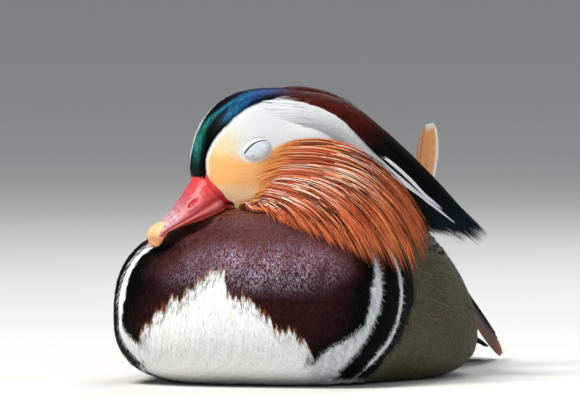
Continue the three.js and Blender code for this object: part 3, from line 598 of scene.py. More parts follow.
def head_colour(h):
    x, b, u = h[..., 0], h[..., 1], h[..., 2]
    turn = turn_of(h)
    fine = ripple(h, 1.0, 2)
    # tan cheek under a cream lore and a white brow
    tan = table(b, TAN_TOP) - u + 0.5 * fine
    soft = table(b, [(-18, 3.2), (-8, 3.0), (0, 1.2), (10, 1.0)])
    brow = blend(BROW_WHITE, WHITE, smooth(8, 26, b))
    face = blend(brow, CREAM, smooth(0, -13, b) * (1 - smooth(2, 11, u)))
    # the lower cheek paler, partly its own paler tone and partly painted light where it falls in shade
    cheek = blend(TAN, TAN_LOW, smooth(-11, -17, u))
    cheek = blend(cheek, ORANGE, smooth(0, 12, b + 0.3 * (-8 - u)) * 0.9)
    cheek = cheek * (1 + 0.16 * hairs(h) + 0.08 * ripple(h, 0.5, 2))[..., None]
    face = blend(face, cheek, smooth(-soft, soft, tan + 0.3 * soft))
    streak = np.clip(1.3 * hairs(h), 0, 1) * (1 - smooth(0, 14, b))
    face = face * (1 + 0.04 * hairs(h) - 0.13 * streak)[..., None]
    # a thin white line along the bill, and black skin at the corner of the mouth
    behind = b - table(u, BILL_EDGE)
    face = blend(face, WHITE, (1 - smooth(0.5, 1.0, behind)) * (u < -7) * (u > -19.2))
    face = blend(face, BLACK, (1 - smooth(0.15, 0.4, behind)) * (1 - smooth(-15.5, -14, u)))
    face = blend(face, rgb(206, 60, 62), (1 - smooth(-0.3, 0.0, behind)) * (u < -8.4))
    # a pale ring round the lids, and a white line beside the crown over the forehead
    ring = 1 - smooth(1.02, 1.42, lid_reach(h) + 0.07 * fine + 0.05 * hairs(h))
    face = blend(face, BROW_WHITE, 0.85 * ring)
    beside = np.abs(x) - crown_half(x, turn)
    width = np.where(x < 0, 4.0, 1.0)
    face = blend(face, BROW_WHITE * 1.05, (1 - smooth(width, width + 0.6, beside)) * (b < 4) * (u > -9))
    # throat and nape are dark under the hackles
    chin = smooth(-20.5, -22.5, u - 0.1 * b)
    nape = smooth(30, 38, b) * (1 - smooth(-8, -2, u))
    face = blend(face, blend(CHIN, MAROON_RED, smooth(10, 24, b)), np.clip(chin + nape, 0, 1))
    inside = crown_half(x, turn) - np.abs(x) + 0.15 * ripple(h * [1.0, 0.3, 0.3], 0.5, 4)
    return blend(face, crown_colour(h), smooth(-0.25, 0.25, inside) * smooth(-3, -1, turn))


def is_head(p):
    h = to_head(p) - HEAD_CENTRE
    front = np.abs(h[..., 1]) / np.where(h[..., 1] < 0, HEAD_FRONT, HEAD_BACK)
    high = np.abs(h[..., 2]) / np.where(h[..., 2] > 0, HEAD_UP, HEAD_DOWN)
    return (front**2.6 + high**2 + (h[..., 0] / HEAD_HALF) ** 2 < 1.35) & (p[..., 2] > 62)


def in_throat(p):
    """The fluffed feathers between the chin and the top of the breast."""
    return (((p - THROAT_AT) / (THROAT_RADII + 1)) ** 2).sum(-1) < 1


def is_neck(p):
    return ~is_head(p) & ~in_throat(p) & (p[..., 2] > torso_top(p) + 1.0)


def torso_top(p):
    half, mid, up, _, above, _ = torso_ring(np.clip(p[..., 1], NOSE_Y + 0.01, TAIL_Y - 0.01))
    across = np.clip(np.abs(p[..., 0]) / np.maximum(half, 1), 0, 1)
    return mid + up * (1 - across**above) ** (1 / above)


def skin_colour(p):
    colour = body_colour(p)
    neck = is_neck(p)
    colour[neck] = blend(MAROON_RED, BROWN, smooth(-40, -20, p[neck][:, 1]))
    head = is_head(p)
    colour[head] = head_colour(to_head(p[head]))
    return colour


# Skin: breast, belly, neck and head in one

def rough_skin():
    """The bodies that the skin is wrapped round, a little inside the feathers."""
    s, t = ring_grid(90, 120)
    middle, half = (NOSE_Y + TAIL_Y) / 2, (TAIL_Y - NOSE_Y) / 2
    torso = torso_point(middle - np.cos(np.pi * s) * half, t, SKIN_DEPTH)
    torso[..., 1] = middle + (torso[..., 1] - middle) * (1 - SKIN_DEPTH / half)
    s, t = ring_grid(40, 64)
    ring = np.sin(np.pi * s)
    ball = np.stack([ring * np.cos(t), ring * np.sin(t), -np.cos(np.pi * s)], -1)
    throat = THROAT_AT + (THROAT_RADII - 0.6) * ball
    bodies = (torso, neck_point(s, t, 2.0), to_world(head_point(s, t, 0.7)), throat)
    return mesh_of("skin_rough", *joined([closed(body) for body in bodies]))


def make_skin():
    rough = linked("skin_rough", rough_skin())
    remesh = rough.modifiers.new("remesh", "REMESH")
    remesh.mode = "VOXEL"
    remesh.voxel_size = SKIN_GRAIN * MM
    relax = rough.modifiers.new("relax", "SMOOTH")
    relax.factor = 0.5
    relax.iterations = 6
    whole = bpy.data.meshes.new_from_object(rough.evaluated_get(bpy.context.evaluated_depsgraph_get()))
    bpy.data.objects.remove(rough)
    p = np.empty(len(whole.vertices) * 3)
    whole.vertices.foreach_get("co", p)
    p = p.reshape(-1, 3) / MM
    p[:, 2] = np.maximum(p[:, 2], SKIN_LOW)
    quads = np.empty(len(whole.loops), np.int32)
    whole.loops.foreach_get("vertex_index", quads)
    quads = quads.reshape(-1, 4)
    bpy.data.meshes.remove(whole)
    mesh = mesh_of("skin", p, quads, skin_colour(p), along=p[:, 1])
    new_object("skin", mesh, DOWN, ("torso", "neck", "head"))
    return p, quads


skin_points, skin_quads = make_skin()
skin_tree = BVHTree.FromPolygons(skin_points.tolist(), skin_quads.tolist())
skin_tris = halved(skin_quads)
corner_a, corner_b, corner_c = (skin_points[skin_tris[:, k]] for k in range(3))
facings = np.cross(corner_b - corner_a, corner_c - corner_a)
skin_area = np.linalg.norm(facings, axis=1) / 2
skin_normals = unit(facings)


def snap(points):
    """The nearest places on the skin, with the normals there."""
    flat = points.reshape(-1, 3)
    at, normal = np.empty_like(flat), np.empty_like(flat)
    for i, p in enumerate(flat.tolist()):
        at[i], normal[i] = skin_tree.find_nearest(p)[:2]
    return at.reshape(points.shape), normal.reshape(points.shape)


def clear_of_skin(points, margin):
    """Points moved out where they lie less than margin outside the skin."""
    at, normal = snap(points)
    height = ((points - at) * normal).sum(-1, keepdims=True)
    return np.where(height < margin, points + normal * (margin - height), points)


def scatter(zone, density):
    """Random roots on the part of the skin where zone(points) is true, so many to a square millimetre."""
    middle = skin_points[skin_tris].mean(1)
    share = skin_area * np.where(zone(middle), 1.0, 0.0)
    n = int(share.sum() * density)
    pick = rng.choice(len(skin_tris), n, p=share / share.sum())
    u, v = rng.random(n), rng.random(n)
    flip = u + v > 1
    u, v = np.where(flip, 1 - u, u)[:, None], np.where(flip, 1 - v, v)[:, None]
    a, b, c = (skin_points[skin_tris[pick, k]] for k in range(3))
    return a + u * (b - a) + v * (c - a), skin_normals[pick]


def lie_of_body(p):
    """Which way the body's feathers point: down from the throat in front, back and down behind."""
    back = smooth(-76, -48, p[..., 1])[..., None]
    side = smooth(20, 60, p[..., 2])[..., None] * smooth(-60, -20, p[..., 1])[..., None]
    behind = np.array([0.0, 1, -0.18]) + side * np.array([0, 0, -0.2])
    return unit(unit(p - THROAT) * (1 - back) + behind * back)


def lie_of_head(h):
    """Which way the head's feathers point: back from the bill, fanning over the brow and the cheek."""
    return unit(h - FACE_FROM)


def tufts(zone, density, length, width, lie=lie_of_body, shade=body_colour, unwrap=body_map, rows=3,
          lift=0.5, base=0.0, ridge=0.12, wide=(0.75, 1.0, 0.0), spread=0.25, root=0.8, tip=1.25, vary=0.18,
          own=0.8, glint=None, grow=None):
    """Small feathers rooted on the skin: each follows it, a little above it, and ends in a point.

    density is their number on a square millimetre, and wide the shares of width from root to tip. lift and
    base are the heights of the arch and of its foot, and ridge that of the middle rib as a share of width.
    spread is how far they stray from their lie. root, tip and vary change their tone, and own is how far
    each place on a feather has the colour of the skin under it, in place of the colour at its root.
    """
    roots, normals = scatter(zone, density)
    n = len(roots)
    way = unit(lie(roots) + rng.normal(0, spread, (n, 3)))
    way = unit(way - normals * (way * normals).sum(-1, keepdims=True))
    long = length * rng.uniform(0.75, 1.2, n) * (1 if grow is None else grow(roots))
    s = np.linspace(0, 1, rows)
    target = roots[:, None] + way[:, None] * (long[:, None] * s)[..., None]
    at, up = snap(target[:, 1:])
    at, up = np.concatenate([roots[:, None], at], 1), np.concatenate([normals[:, None], up], 1)
    up = unit(up * 0.6 + normals[:, None] * 0.4)
    # pale feathers lie flatter, and vary less in tone
    flat = 1 - 0.75 * smooth(0.3, 0.7, shade(roots).max(-1))[:, None]
    arch = flat * lift * rng.uniform(0.75, 1.25, (n, 1)) * np.sin(np.pi * (0.1 + 0.62 * s))[None]
    line = at + up * (base - 0.1 + arch)[..., None]
    side = unit(np.cross(np.gradient(line, axis=1), up))
    across = np.interp(s, np.linspace(0, 1, len(wide)), wide)
    half = (width / 2 * rng.uniform(0.8, 1.2, (n, 1)) * across)[..., None]
    points = np.stack([line - side * half, line + up * ridge * width, line + side * half], 2)
    seat = roots[:, None, None] + (points - roots[:, None, None]) * own
    tone = shade(seat.reshape(-1, 3)).reshape(points.shape)
    calm = 1 - 0.9 * smooth(0.25, 0.7, tone.max(-1, keepdims=True))
    tone = tone * (1 + calm * rng.uniform(-vary, vary, (n, 1, 1, 1)))
    # painted highlight: single feathers turn lilac where they catch the sky
    if glint is not None:
        shine = glint(roots)[:, None] * np.interp(s, [0, 0.5, 1], [0, 1, 0.7])[None]
        tone = blend(tone, GLINT_LILAC, np.broadcast_to(shine[..., None], tone.shape[:3]))
    light = lerp(root, tip, s)[None, :, None, None] * np.array([0.92, 1.08, 0.92])[None, None, :, None]
    lane = points[..., 1] * 0.85 - points[..., 2] * 0.5
    return sheets(points, tone * (1 + calm * (light - 1)), patches(unwrap(roots), rows, 3), along=lane)


# Zones of the skin

def on_crown(h, margin):
    turn = turn_of(h)
    return (np.abs(h[..., 0]) < table(turn, CROWN_HALF) + margin) & (turn > -2)


def zone_face(p):
    h = to_head(p)
    bare = (h[..., 1] < table(h[..., 2], BILL_EDGE)) & (h[..., 2] < -8.4)
    return is_head(p) & (lid_reach(h) > 1.0) & ~on_crown(h, -1.0) & (h[..., 1] < 42) & ~bare


def zone_crown(p):
    h = to_head(p)
    return is_head(p) & on_crown(h, -0.35)


def zone_neck(p):
    return is_neck(p) | (is_head(p) & (to_head(p)[..., 1] >= 42))


def on_body(p):
    return ~is_head(p) & ~is_neck(p)


def zone_breast(p):
    return on_body(p) & (edge("flank", p) < 1.5) & (p[..., 2] > 2)


def zone_slope(p):
    above_patch = table(p[..., 0], PATCH_TOP) < p[..., 2] - 1
    return zone_breast(p) & (p[..., 2] > 33) & (edge("maroon", p) < -3) & above_patch


def zone_flank(p):
    y, z = p[..., 1], p[..., 2]
    return on_body(p) & (edge("flank", p) > -1) & (z > 2.5) & (z < 64) & (y < 96)


def zone_shafts(p):
    y, z = p[..., 1], p[..., 2]
    return zone_flank(p) & (z > 24) & (y > -24) & (y < 46) & (edge("flank", p) > 4)


def zone_back(p):
    y, z = p[..., 1], p[..., 2]
    return on_body(p) & (((z >= 56) & (edge("flank", p) > 0)) | (y >= 80))


def zone_belly(p):
    return p[..., 2] <= 5


# How the feathers of each zone lie, shine and grow

def shaft_shade(p):
    return 0 * p + rgb(122, 113, 84)


def head_lie(p):
    return turned(lie_of_head(to_head(p)))


def crown_lie(p):
    """Back over the head, keeping step with the crown's own edges."""
    h = to_head(p)
    turn = turn_of(h)
    arc = np.radians(3) * np.hypot(HEAD_CENTRE[1] - h[..., 1], h[..., 2] - HEAD_CENTRE[2])
    widening = table(turn + 3, CROWN_HALF) / table(turn, CROWN_HALF) - 1
    way = np.stack([h[..., 0] * widening / arc, np.sin(np.radians(turn)), np.cos(np.radians(turn))], -1)
    return turned(unit(way))


def head_unwrap(p):
    return head_map(to_head(p))


def crown_shade(p):
    """The crown's own colours, and white over the far brow."""
    h = to_head(p)
    past_crown = np.abs(h[..., 0]) - crown_half(h[..., 0], turn_of(h))
    over_brow = smooth(-0.2, 0.2, past_crown) * (h[..., 0] < 0)
    return blend(crown_colour(h), BROW_WHITE, over_brow)


def head_shade(p):
    return head_colour(to_head(p))


def glints(p):
    """How much painted lilac highlight single feathers of the breast's upper slope get, where they catch
    the sky.
    """
    slope = smooth(33, 42, p[:, 2]) * (1 - 0.75 * smooth(47, 54, p[:, 2]))
    slope = slope * (1 - smooth(-14, -2, edge("maroon", p)))
    clump = 0.65 + 0.5 * ripple(p, 7, 6)
    return np.clip(slope * clump, 0, 1) * rng.random(len(p)) ** 1.1


def face_length(p):
    """The shortest feathers stand along the bill and round the eye."""
    h = to_head(p)
    from_bill = h[:, 1] - table(h[:, 2], BILL_EDGE)
    return 0.35 + 0.65 * smooth(0.3, 4, from_bill) * smooth(1.1, 1.8, lid_reach(h))


BROAD = (0.7, 1, 0.85, 0)  # share of a broad feather's width, from its root to its tip
FACE = {"lie": head_lie, "shade": head_shade, "unwrap": head_unwrap, "grow": face_length}
CAP = {"lie": crown_lie, "shade": crown_shade, "unwrap": head_unwrap}

for part in range(4):
    piece("coat_breast_%d" % part, [
        tufts(zone_breast, 0.95, 4.2, 0.48, lift=1.0, base=0.1, ridge=0.08, spread=0.09, vary=0.35,
              own=0.86),
        # tiny feathers that carry the painted lilac highlights of the upper slope
        tufts(zone_slope, 2.4, 1.4, 0.2, lift=0.35, base=0.85, ridge=0.05, spread=0.2, vary=0.3,
              glint=glints),
    ], MAROON)
piece("coat_flank", [
    tufts(zone_flank, 0.72, 9.0, 2.5, rows=4, lift=1.7, ridge=0.05, wide=BROAD, spread=0.08, root=0.94,
          tip=1.06, vary=0.06),
    tufts(zone_shafts, 0.05, 13.0, 0.2, shade=shaft_shade, rows=5, lift=2.2, base=0.3,
          wide=(0.8, 1, 0.8, 0), spread=0.02, vary=0.2),
], FLANK)
piece("coat_back", [
    tufts(zone_back, 0.5, 10.0, 3.4, rows=4, lift=1.4, ridge=0.06, wide=BROAD),
], DOWN)
piece("coat_belly", [tufts(zone_belly, 0.35, 9.0, 2.2, lift=0.3)], DOWN)
piece("coat_neck", [tufts(zone_neck, 0.8, 8.0, 1.4, shade=skin_colour, lift=0.8)], DOWN)
for part in range(2):
    piece("coat_face_%d" % part, [
        tufts(zone_face, 6.5, 2.6, 0.36, lift=0.16, base=0.12, ridge=0.04, spread=0.06, root=0.95, tip=1.04,
              vary=0.05, own=0.95, **FACE),
    ], VELVET)
piece("coat_crown", [
    tufts(zone_crown, 9.0, 6.0, 0.36, rows=4, lift=0.7, base=0.5, ridge=0.06, wide=(0.7, 1, 0.8, 0),
          spread=0.04, vary=0.5, own=0.95, **CAP),
], GLOSSY)


# Crest

# the crest's middle line in the head's frame, with its half width and half height at even steps along it
CREST_LINE = [(0, 4, 10), (0, 20, 11.5), (0, 36, 8.8), (0, 52, 0.5), (0, 66.2, -10.8), (0, 80.2, -22.6),
              (0, 95.5, -33.8)]
CREST_HALF = [11, 14.5, 14.5, 13, 11.5, 9.5, 6.5]
CREST_HIGH = [10.8, 11.4, 11.4, 11.8, 11.5, 10.5, 8]
CREST_LONG = 107  # length of the line, for strands that run past its end
CORE_ENDS = (0.02, 0.62)  # shares of the length where the body under the strands starts and ends
# angle of the white stripe's upper and lower edge round the crest's line, against share of its length
STRIPE_TOP = [(0, 60), (0.05, 50), (0.11, 41), (0.16, 34), (0.215, 25), (0.275, 17), (0.315, 12), (0.37, 1),
              (0.425, -7), (0.5, -14), (0.6, -14), (0.7, -10), (0.78, -5), (0.87, -1), (0.93, 1)]
STRIPE_LOW = [(0, -70), (0.1, -64), (0.18, -56), (0.29, -37), (0.355, -29), (0.415, -27), (0.56, -29),
              (0.62, -25), (0.66, -20), (0.72, -15), (0.78, -10), (0.85, -4), (0.93, 0)]
# how far the upper strands stand off the line, against share of its length
TOP_RISE = [(0, 0.95), (0.3, 0.96), (0.36, 0.95), (0.42, 0.92), (0.5, 0.84), (0.58, 0.84), (0.65, 0.88),
            (0.75, 0.92), (0.85, 0.94), (1.0, 0.98), (1.1, 1.0)]


def stream(s, degrees, spread):
    """A point of the crest, in the head's frame: share s of its length, at an angle round its line."""
    s, degrees, spread = np.broadcast_arrays(np.asarray(s, float), degrees, spread)
    inner = np.clip(s, 0, 1)
    ahead = through(CREST_LINE, np.minimum(inner + 0.01, 1))
    along = unit(ahead - through(CREST_LINE, np.minimum(inner, 0.99)))
    at = through(CREST_LINE, inner) + along * (np.maximum(s - 1, 0) * CREST_LONG)[..., None]
    up = np.stack([0 * s, -along[..., 2], along[..., 1]], -1)
    knots = np.linspace(0, 1, len(CREST_HALF))
    angle = np.radians(degrees)
    x = spread * np.interp(inner, knots, CREST_HALF) * np.cos(angle)
    high = spread * np.interp(inner, knots, CREST_HIGH) * np.sin(angle)
    return at + np.stack([x, 0 * x, 0 * x], -1) + up * high[..., None]


def strands(line, up, width, thick, colour, uv, taper=(0.55, 1, 0.9, 0.6, 0)):
    """Long flat strands along lines (n, rows, 3), with up (n, rows, 3) on their outer side."""
    rows, cols = line.shape[1], 3
    side = unit(np.cross(np.gradient(line, axis=1), up))
    out = unit(np.cross(side, np.gradient(line, axis=1)))
    s = np.linspace(0, 1, rows)
    half = (width / 2)[:, None] * np.interp(s, np.linspace(0, 1, len(taper)), taper)[None]
    c = np.linspace(-1, 1, cols)
    points = line[:, :, None] + side[:, :, None] * (half[..., None] * c)[..., None]
    points = points + out[:, :, None] * ((1 - c * c) * thick)[None, None, :, None]
    return sheets(points, np.broadcast_to(colour, points.shape), patches(uv, rows, cols))


def crest_strands(n, lanes, start, end, spread, width, colour, wave=0.02, vary=0.28, seat=0.86, thick=0.08,
                  loose=1.0):
    """Strands that follow the crest; lanes(s, v) gives the angle at share s for a strand's own v."""
    v = rng.random(n)
    side = np.where(rng.random(n) < 0.5, -1, 1)
    s0, s1 = start(v), end(v)
    share = np.linspace(0, 1, 8)[None]
    s = s0[:, None] + (s1 - s0)[:, None] * share
    stray = loose * rng.normal(0, 1, (2, n, 1)) * share**2.5 * smooth(0.6, 1.0, s)
    degrees = lanes(s, v[:, None]) + 5 * stray[0]
    degrees = np.where(side[:, None] > 0, degrees, 180 - degrees)
    level = spread(v)[:, None] * (seat + (1.02 - seat) * np.sin(np.pi * (0.12 + 0.6 * share)))
    level = level * (1 + wave * rng.normal(0, 1, (n, 1)) * share - 0.08 * np.abs(stray[1]))
    level = level * lerp(1, table(s, TOP_RISE), smooth(0, 60, degrees) * smooth(180, 120, degrees))
    line = stream(s, degrees, level)
    up = unit(line - stream(s, degrees, 0.0 * level))
    tint = colour(s, np.broadcast_to(v[:, None], s.shape), line)
    tint = tint * rng.uniform(1 - vary, 1 + vary, (n, 1, 1))
    wide = width * rng.uniform(0.7, 1.3, n)
    return strands(to_world(line), turned(up), wide, thick, tint[:, :, None], head_map(line[:, 0]))


def crest_colour(s, v, line):
    colour = blend(head_colour(line), COPPER, smooth(0.05, 0.16, s))
    colour = blend(colour, BLACK, smooth(0.4, 0.56, s + 0.1 * (0.5 - v)))
    return blend(colour, rgb(18, 36, 42), smooth(0.8, 1.03, s))


def under_colour(s, v, line):
    return blend(BLACK + 0 * s[..., None], rgb(16, 36, 44), smooth(0.7, 1.0, s))


def stripe_white(s):
    return blend(BROW_WHITE, WHITE, smooth(0.16, 0.4, s))


def white_colour(s, v, line):
    return blend(stripe_white(s), rgb(224, 228, 240), smooth(0.6, 0.9, s))


def top_lane(s, v):
    return lerp(table(s, STRIPE_TOP) + 0.6, 93, v)


def white_lane(s, v):
    return lerp(table(s, STRIPE_LOW), table(s, STRIPE_TOP), v)


def low_lane(s, v):
    return lerp(-64, table(s, STRIPE_LOW), v)


def loose_lane(s, v):
    return 70 + 28 * v + 0 * s


def plume_lane(s, v):
    middle = table(s, [(0.48, -8), (0.55, -7.5), (0.62, -4.5), (0.7, -3), (0.77, -4), (0.82, 2)])
    return middle + 4 * (v - 0.5)


def in_stripe(along, degrees):
    degrees = (degrees + 90) % 360 - 90
    degrees = np.where(degrees > 90, 180 - degrees, degrees)
    return (degrees < table(along, STRIPE_TOP)) & (degrees > table(along, STRIPE_LOW))


def crest_core(rows, cols):
    """The closed body under the strands, striped as they are."""
    s, angle = ring_grid(rows, cols)
    along, degrees = lerp(*CORE_ENDS, s), np.degrees(angle)
    white = in_stripe(along, degrees)
    ring = np.clip(np.sin(np.pi * s), 0, 1) ** 0.5 * np.where(white, 0.94, 0.84)
    points, quads = closed(to_world(stream(along, degrees, ring)))
    # painted shade: the copper darkened under the strands
    dark = blend(COPPER * 0.6, BLACK, smooth(0.3, 0.5, along))
    colours = np.where(white[..., None], stripe_white(along), dark).reshape(-1, 3)
    return points, halved(quads), colours, head_map(to_head(points)), np.zeros(len(points))


def between(low, high, early=0.0):
    """Random shares of the crest's length or breadth, earlier for the lower strands of a band."""
    return lambda v: rng.uniform(low, high, len(v)) - early * (1 - v)


piece("crest_mane", [
    crest_core(40, 72),
    crest_strands(4600, top_lane, between(-0.03, 0.47), between(0.55, 1.1, 0.03), between(0.88, 1.0), 0.75,
                  crest_colour),
], GLOSSY, ("crest",))
piece("crest_stripe", [
    crest_strands(3600, white_lane, between(0.0, 0.45), between(0.45, 0.93), between(0.96, 0.985), 0.6,
                  white_colour, wave=0.001, vary=0.03, seat=0.95, thick=0.01, loose=0.1),
    crest_strands(140, plume_lane, between(0.46, 0.5), between(0.74, 0.86), between(1.03, 1.06), 0.5,
                  white_colour, wave=0.0, vary=0.04, thick=0.03, loose=0.2),
], VELVET, ("crest",))
piece("crest_sides", [
    crest_strands(1700, low_lane, between(0.2, 0.45), between(0.62, 1.0, 0.08), between(0.82, 0.99), 0.9,
                  under_colour),
    crest_strands(150, loose_lane, between(0.1, 0.2), between(0.25, 0.45), between(0.97, 1.04), 0.16,
                  crest_colour, wave=0.03),
], GLOSSY, ("crest",))


# Ruff: hackles from each cheek, laid over the breast

# places along the cheek where the hackles start
ROOTS = [(11.8, -6.5, -20.8), (10, -2.6, -20.5), (14.6, 1.6, -15.6), (16, 4.3, -12), (16, 8, -6),
         (15.2, 15, 2.9)]
# for each side: where the hackles' middles and tips lie, how dense they are, and how many loose barbs
RUFF = {
    "left": {
        "middles": [(14, -3.5, -22.2), (16.8, 2.9, -20.4), (23.7, 12.7, -17.2), (36.2, 22.3, -10.4),
                    (37.5, 40.1, -2.8), (29, 40.7, 6.9)],
        "tips": [(15.5, -0.5, -24.6), (18.5, 3, -27.5), (46.5, 12, -34.7), (51.5, 29.4, -42.7),
                 (41, 53.4, -43.2), (26, 66.9, -32.4)],
        "full": 1.15,
        "barbs": 900,
    },
    "right": {
        "middles": [(13, -3.5, -20), (16, 1, -17), (24, 10, -11), (29, 22, -6), (30, 33, -1), (26, 34, 7)],
        "tips": [(14, -1, -22), (16, 2, -23), (28, 18, -20), (34, 36, -16.5), (31, 52, -17), (22, 60, -15)],
        "full": 0.8,
        "barbs": 300,
    },
}
LOCKS = 46  # the hackles of each layer end in so many pointed locks
HACKLE_WIDTH, BARB_WIDTH = 1.35, 0.26
# count of each layer's hackles, share of the full length, start before the roots, height over the first
LAYERS = [(150, 1.0, 0.0, 0.0), (135, 0.99, 0.0, 0.5), (110, 0.95, -0.02, 0.9), (80, 0.86, -0.04, 1.3),
          (66, 0.74, -0.07, 1.7), (56, 0.6, -0.1, 2.0), (48, 0.45, -0.13, 2.2)]


def hackle_line(shape, a, s):
    """Points of the ruff at shares s (n, rows, 1) of hackles that lie at a (n, rows) along its roots."""
    return bezier(through(ROOTS, a), through(shape["middles"], a), through(shape["tips"], a), s)


def hackle_frame(shape, a, s, side):
    """Lines of hackles with the ways out of the sheet and across it, in the head's frame."""
    line = hackle_line(shape, a, s)
    before, after = (hackle_line(shape, np.clip(a + step, 0, 1), s) for step in (-0.02, 0.02))
    across = unit(after - before)
    facing = unit(np.cross(unit(np.gradient(line, axis=1)), across))
    facing = facing * np.where(facing[..., :1] < 0, -1, 1)
    mirror = np.array([side, 1, 1])
    return line * mirror, facing * mirror, across * mirror


def hackle_web(a, s, tone):
    """Chestnut webs, tan where they leave the cheek and flame at their tips."""
    web = blend(CHESTNUT, RUST, np.clip(0.14 + 0.62 * tone + 0.2 * s, 0, 1))
    web = blend(web, FLAME, smooth(0.7, 1.0, s) * 0.35 * tone)
    return blend(web, blend(TAN, ORANGE, smooth(-0.15, 0.05, s)), 1 - smooth(-0.03, 0.08, s) + 0 * a)


def hackle_layer(shape, side, count, long, forward, out):
    """One of the ruff's layers: long pointed hackles, each with two webs and a pale shaft."""
    rows, count = 12, int(count * shape["full"])
    a = np.clip((np.arange(count) + rng.uniform(0.2, 0.8, count)) / count, 0, 1)
    reach = long * rng.uniform(0.84, 1.04, count)
    share = np.linspace(0, 1, rows)
    first = forward * rng.uniform(0.5, 1.2, (count, 1))
    s = first + (reach[:, None] - first) * share[None]
    # neighbours run together into locks towards their tips
    start = rng.random()
    lock = (np.floor(a * LOCKS + start) + rng.uniform(0.3, 0.7, count) - start) / LOCKS
    gather = 0.75 * smooth(0.45, 1.0, share)[None]
    a = np.clip(a[:, None] + (lock - a)[:, None] * gather, 0, 1)
    line, facing, across = hackle_frame(shape, a, s[..., None], side)
    wander = rng.normal(0, 0.6, (count, 1, 1)) * share[None, :, None] ** 2
    raised = smooth(0, 0.22, share)[None, :, None]
    arch = out * np.sin(np.pi * (0.1 + 0.77 * share))[None, :, None]
    lifted = (arch + rng.uniform(-0.3, 0.5, (count, 1, 1))) * raised
    line = to_world(line + facing * lifted + across * wander)
    facing, across = turned(facing), turned(across)
    line = clear_of_skin(line, 0.3 + (0.6 + 0.4 * out + rng.uniform(0, 0.8, (count, 1, 1))) * raised)
    wide = HACKLE_WIDTH * np.interp(share, [0, 0.15, 0.4, 0.7, 1], [0.15, 0.5, 1, 0.6, 0.1])
    half = (wide / 2)[None] * rng.uniform(0.8, 1.25, (count, 1))
    c = np.array([-1.0, -0.26, -0.16, 0.16, 0.26, 1.0])
    rise = np.array([0.0, 0.14, 0.34, 0.34, 0.14, 0.0])
    points = line[:, :, None] + across[:, :, None] * (half[..., None] * c)[..., None]
    swell = smooth(0, 0.1, share)[None, :, None, None]
    points = points + facing[:, :, None] * (rise * 0.9)[None, None, :, None] * swell
    tone = rng.random((count, 1)) + 0 * share[None]
    web = hackle_web(a, s, tone)
    web = blend(web, CHESTNUT * 0.7, 0.4 * smooth(0.7, 0.96, a) * smooth(0.1, 0.5, s))
    web = web * lerp(1, 0.72 + 0.7 * tone, smooth(0.05, 0.3, s))[..., None]
    # the pale shaft is whitest near the cheek and turns to flame towards the tip
    turn = 0.6 - 0.4 * smooth(0.55, 0.9, a)
    pale = blend(SHAFT, rgb(250, 184, 126), smooth(turn - 0.3, turn + 0.1, s))
    pale = blend(pale, rgb(250, 150, 90), smooth(0.7, 0.95, s))
    strong = rng.random((count, 1)) < 0.5
    strength = np.where(strong, rng.uniform(0.75, 1, (count, 1)), rng.uniform(0, 0.2, (count, 1)))
    strength = strength * (1 - 0.15 * smooth(0.7, 1.0, a))
    pale = blend(web * 1.1, pale, strength * smooth(-0.03, 0.08, s))
    # painted shade: each hackle's edges darker past its root, for the gaps between hackles
    shade = lerp(0.95, 0.16, smooth(0.0, 0.12, s))[..., None]
    colours = np.stack([web * shade, web, pale, pale, web, web * shade], 2)
    return sheets(points, colours, patches(head_map(to_head(line[:, 0])), rows, 6))


def loose_barbs(shape, side, count):
    """Fine single barbs over the hackles, hooked at their ends."""
    a, reach = rng.random(count), rng.uniform(0.55, 1.06, count)
    share = np.linspace(0, 1, 9)
    a = a[:, None] + 0 * share[None]
    s = reach[:, None] * lerp(rng.uniform(0.04, 0.5, (count, 1)), 1, share[None])
    line, facing, across = hackle_frame(shape, a, s[..., None], side)
    hook = rng.normal(0, 1.4, (count, 1, 1)) * share[None, :, None] ** 3
    lifted = rng.uniform(1.2, 3.2, (count, 1, 1)) * np.sin(np.pi * (0.1 + 0.7 * share))[None, :, None]
    line, facing = to_world(line + facing * lifted + across * hook), turned(facing)
    line = clear_of_skin(line, 1.6 + rng.uniform(0, 1.2, (count, 1, 1)))
    tone = rng.random((count, 1)) + 0 * share[None]
    tint = blend(hackle_web(a, s, tone), blend(SHAFT, FLAME, smooth(0.25, 0.7, s)), 0.9 * (tone > 0.7))
    tint = blend(tint, CHESTNUT * 0.3, (tone < 0.35) * smooth(0.1, 0.3, s))
    wide = BARB_WIDTH * rng.uniform(0.7, 1.3, count)
    uv = head_map(to_head(line[:, 0]))
    return strands(line, facing, wide, 0.05, tint[:, :, None], uv, taper=(0.8, 1, 1, 0.7, 0))


def make_ruff(name, side):
    shape = RUFF[name]
    parts = [hackle_layer(shape, side, *layer) for layer in LAYERS]
    parts.append(loose_barbs(shape, side, shape["barbs"]))
    # a web of down under the hackles, its chestnut darkened as painted shade between them
    a, s = grid_of(np.linspace(0.01, 0.99, 24), np.linspace(0.02, 0.72, 14))
    under = (hackle_line(shape, a, s[..., None]) - [1.4, 0, 0]) * [side, 1, 1]
    under = clear_of_skin(to_world(under), 0.4)[None]
    colours = np.broadcast_to(CHESTNUT * 0.45, under.shape)
    parts.append(sheets(under, colours, head_map(to_head(under)), pointed=False))
    piece("ruff_" + name + "_hackles", parts, HACKLE, ("ruff_" + name,))


make_ruff("left", 1)
make_ruff("right", -1)


# Vanes: wing, sail and tail feathers

COVERT_ROWS = 11


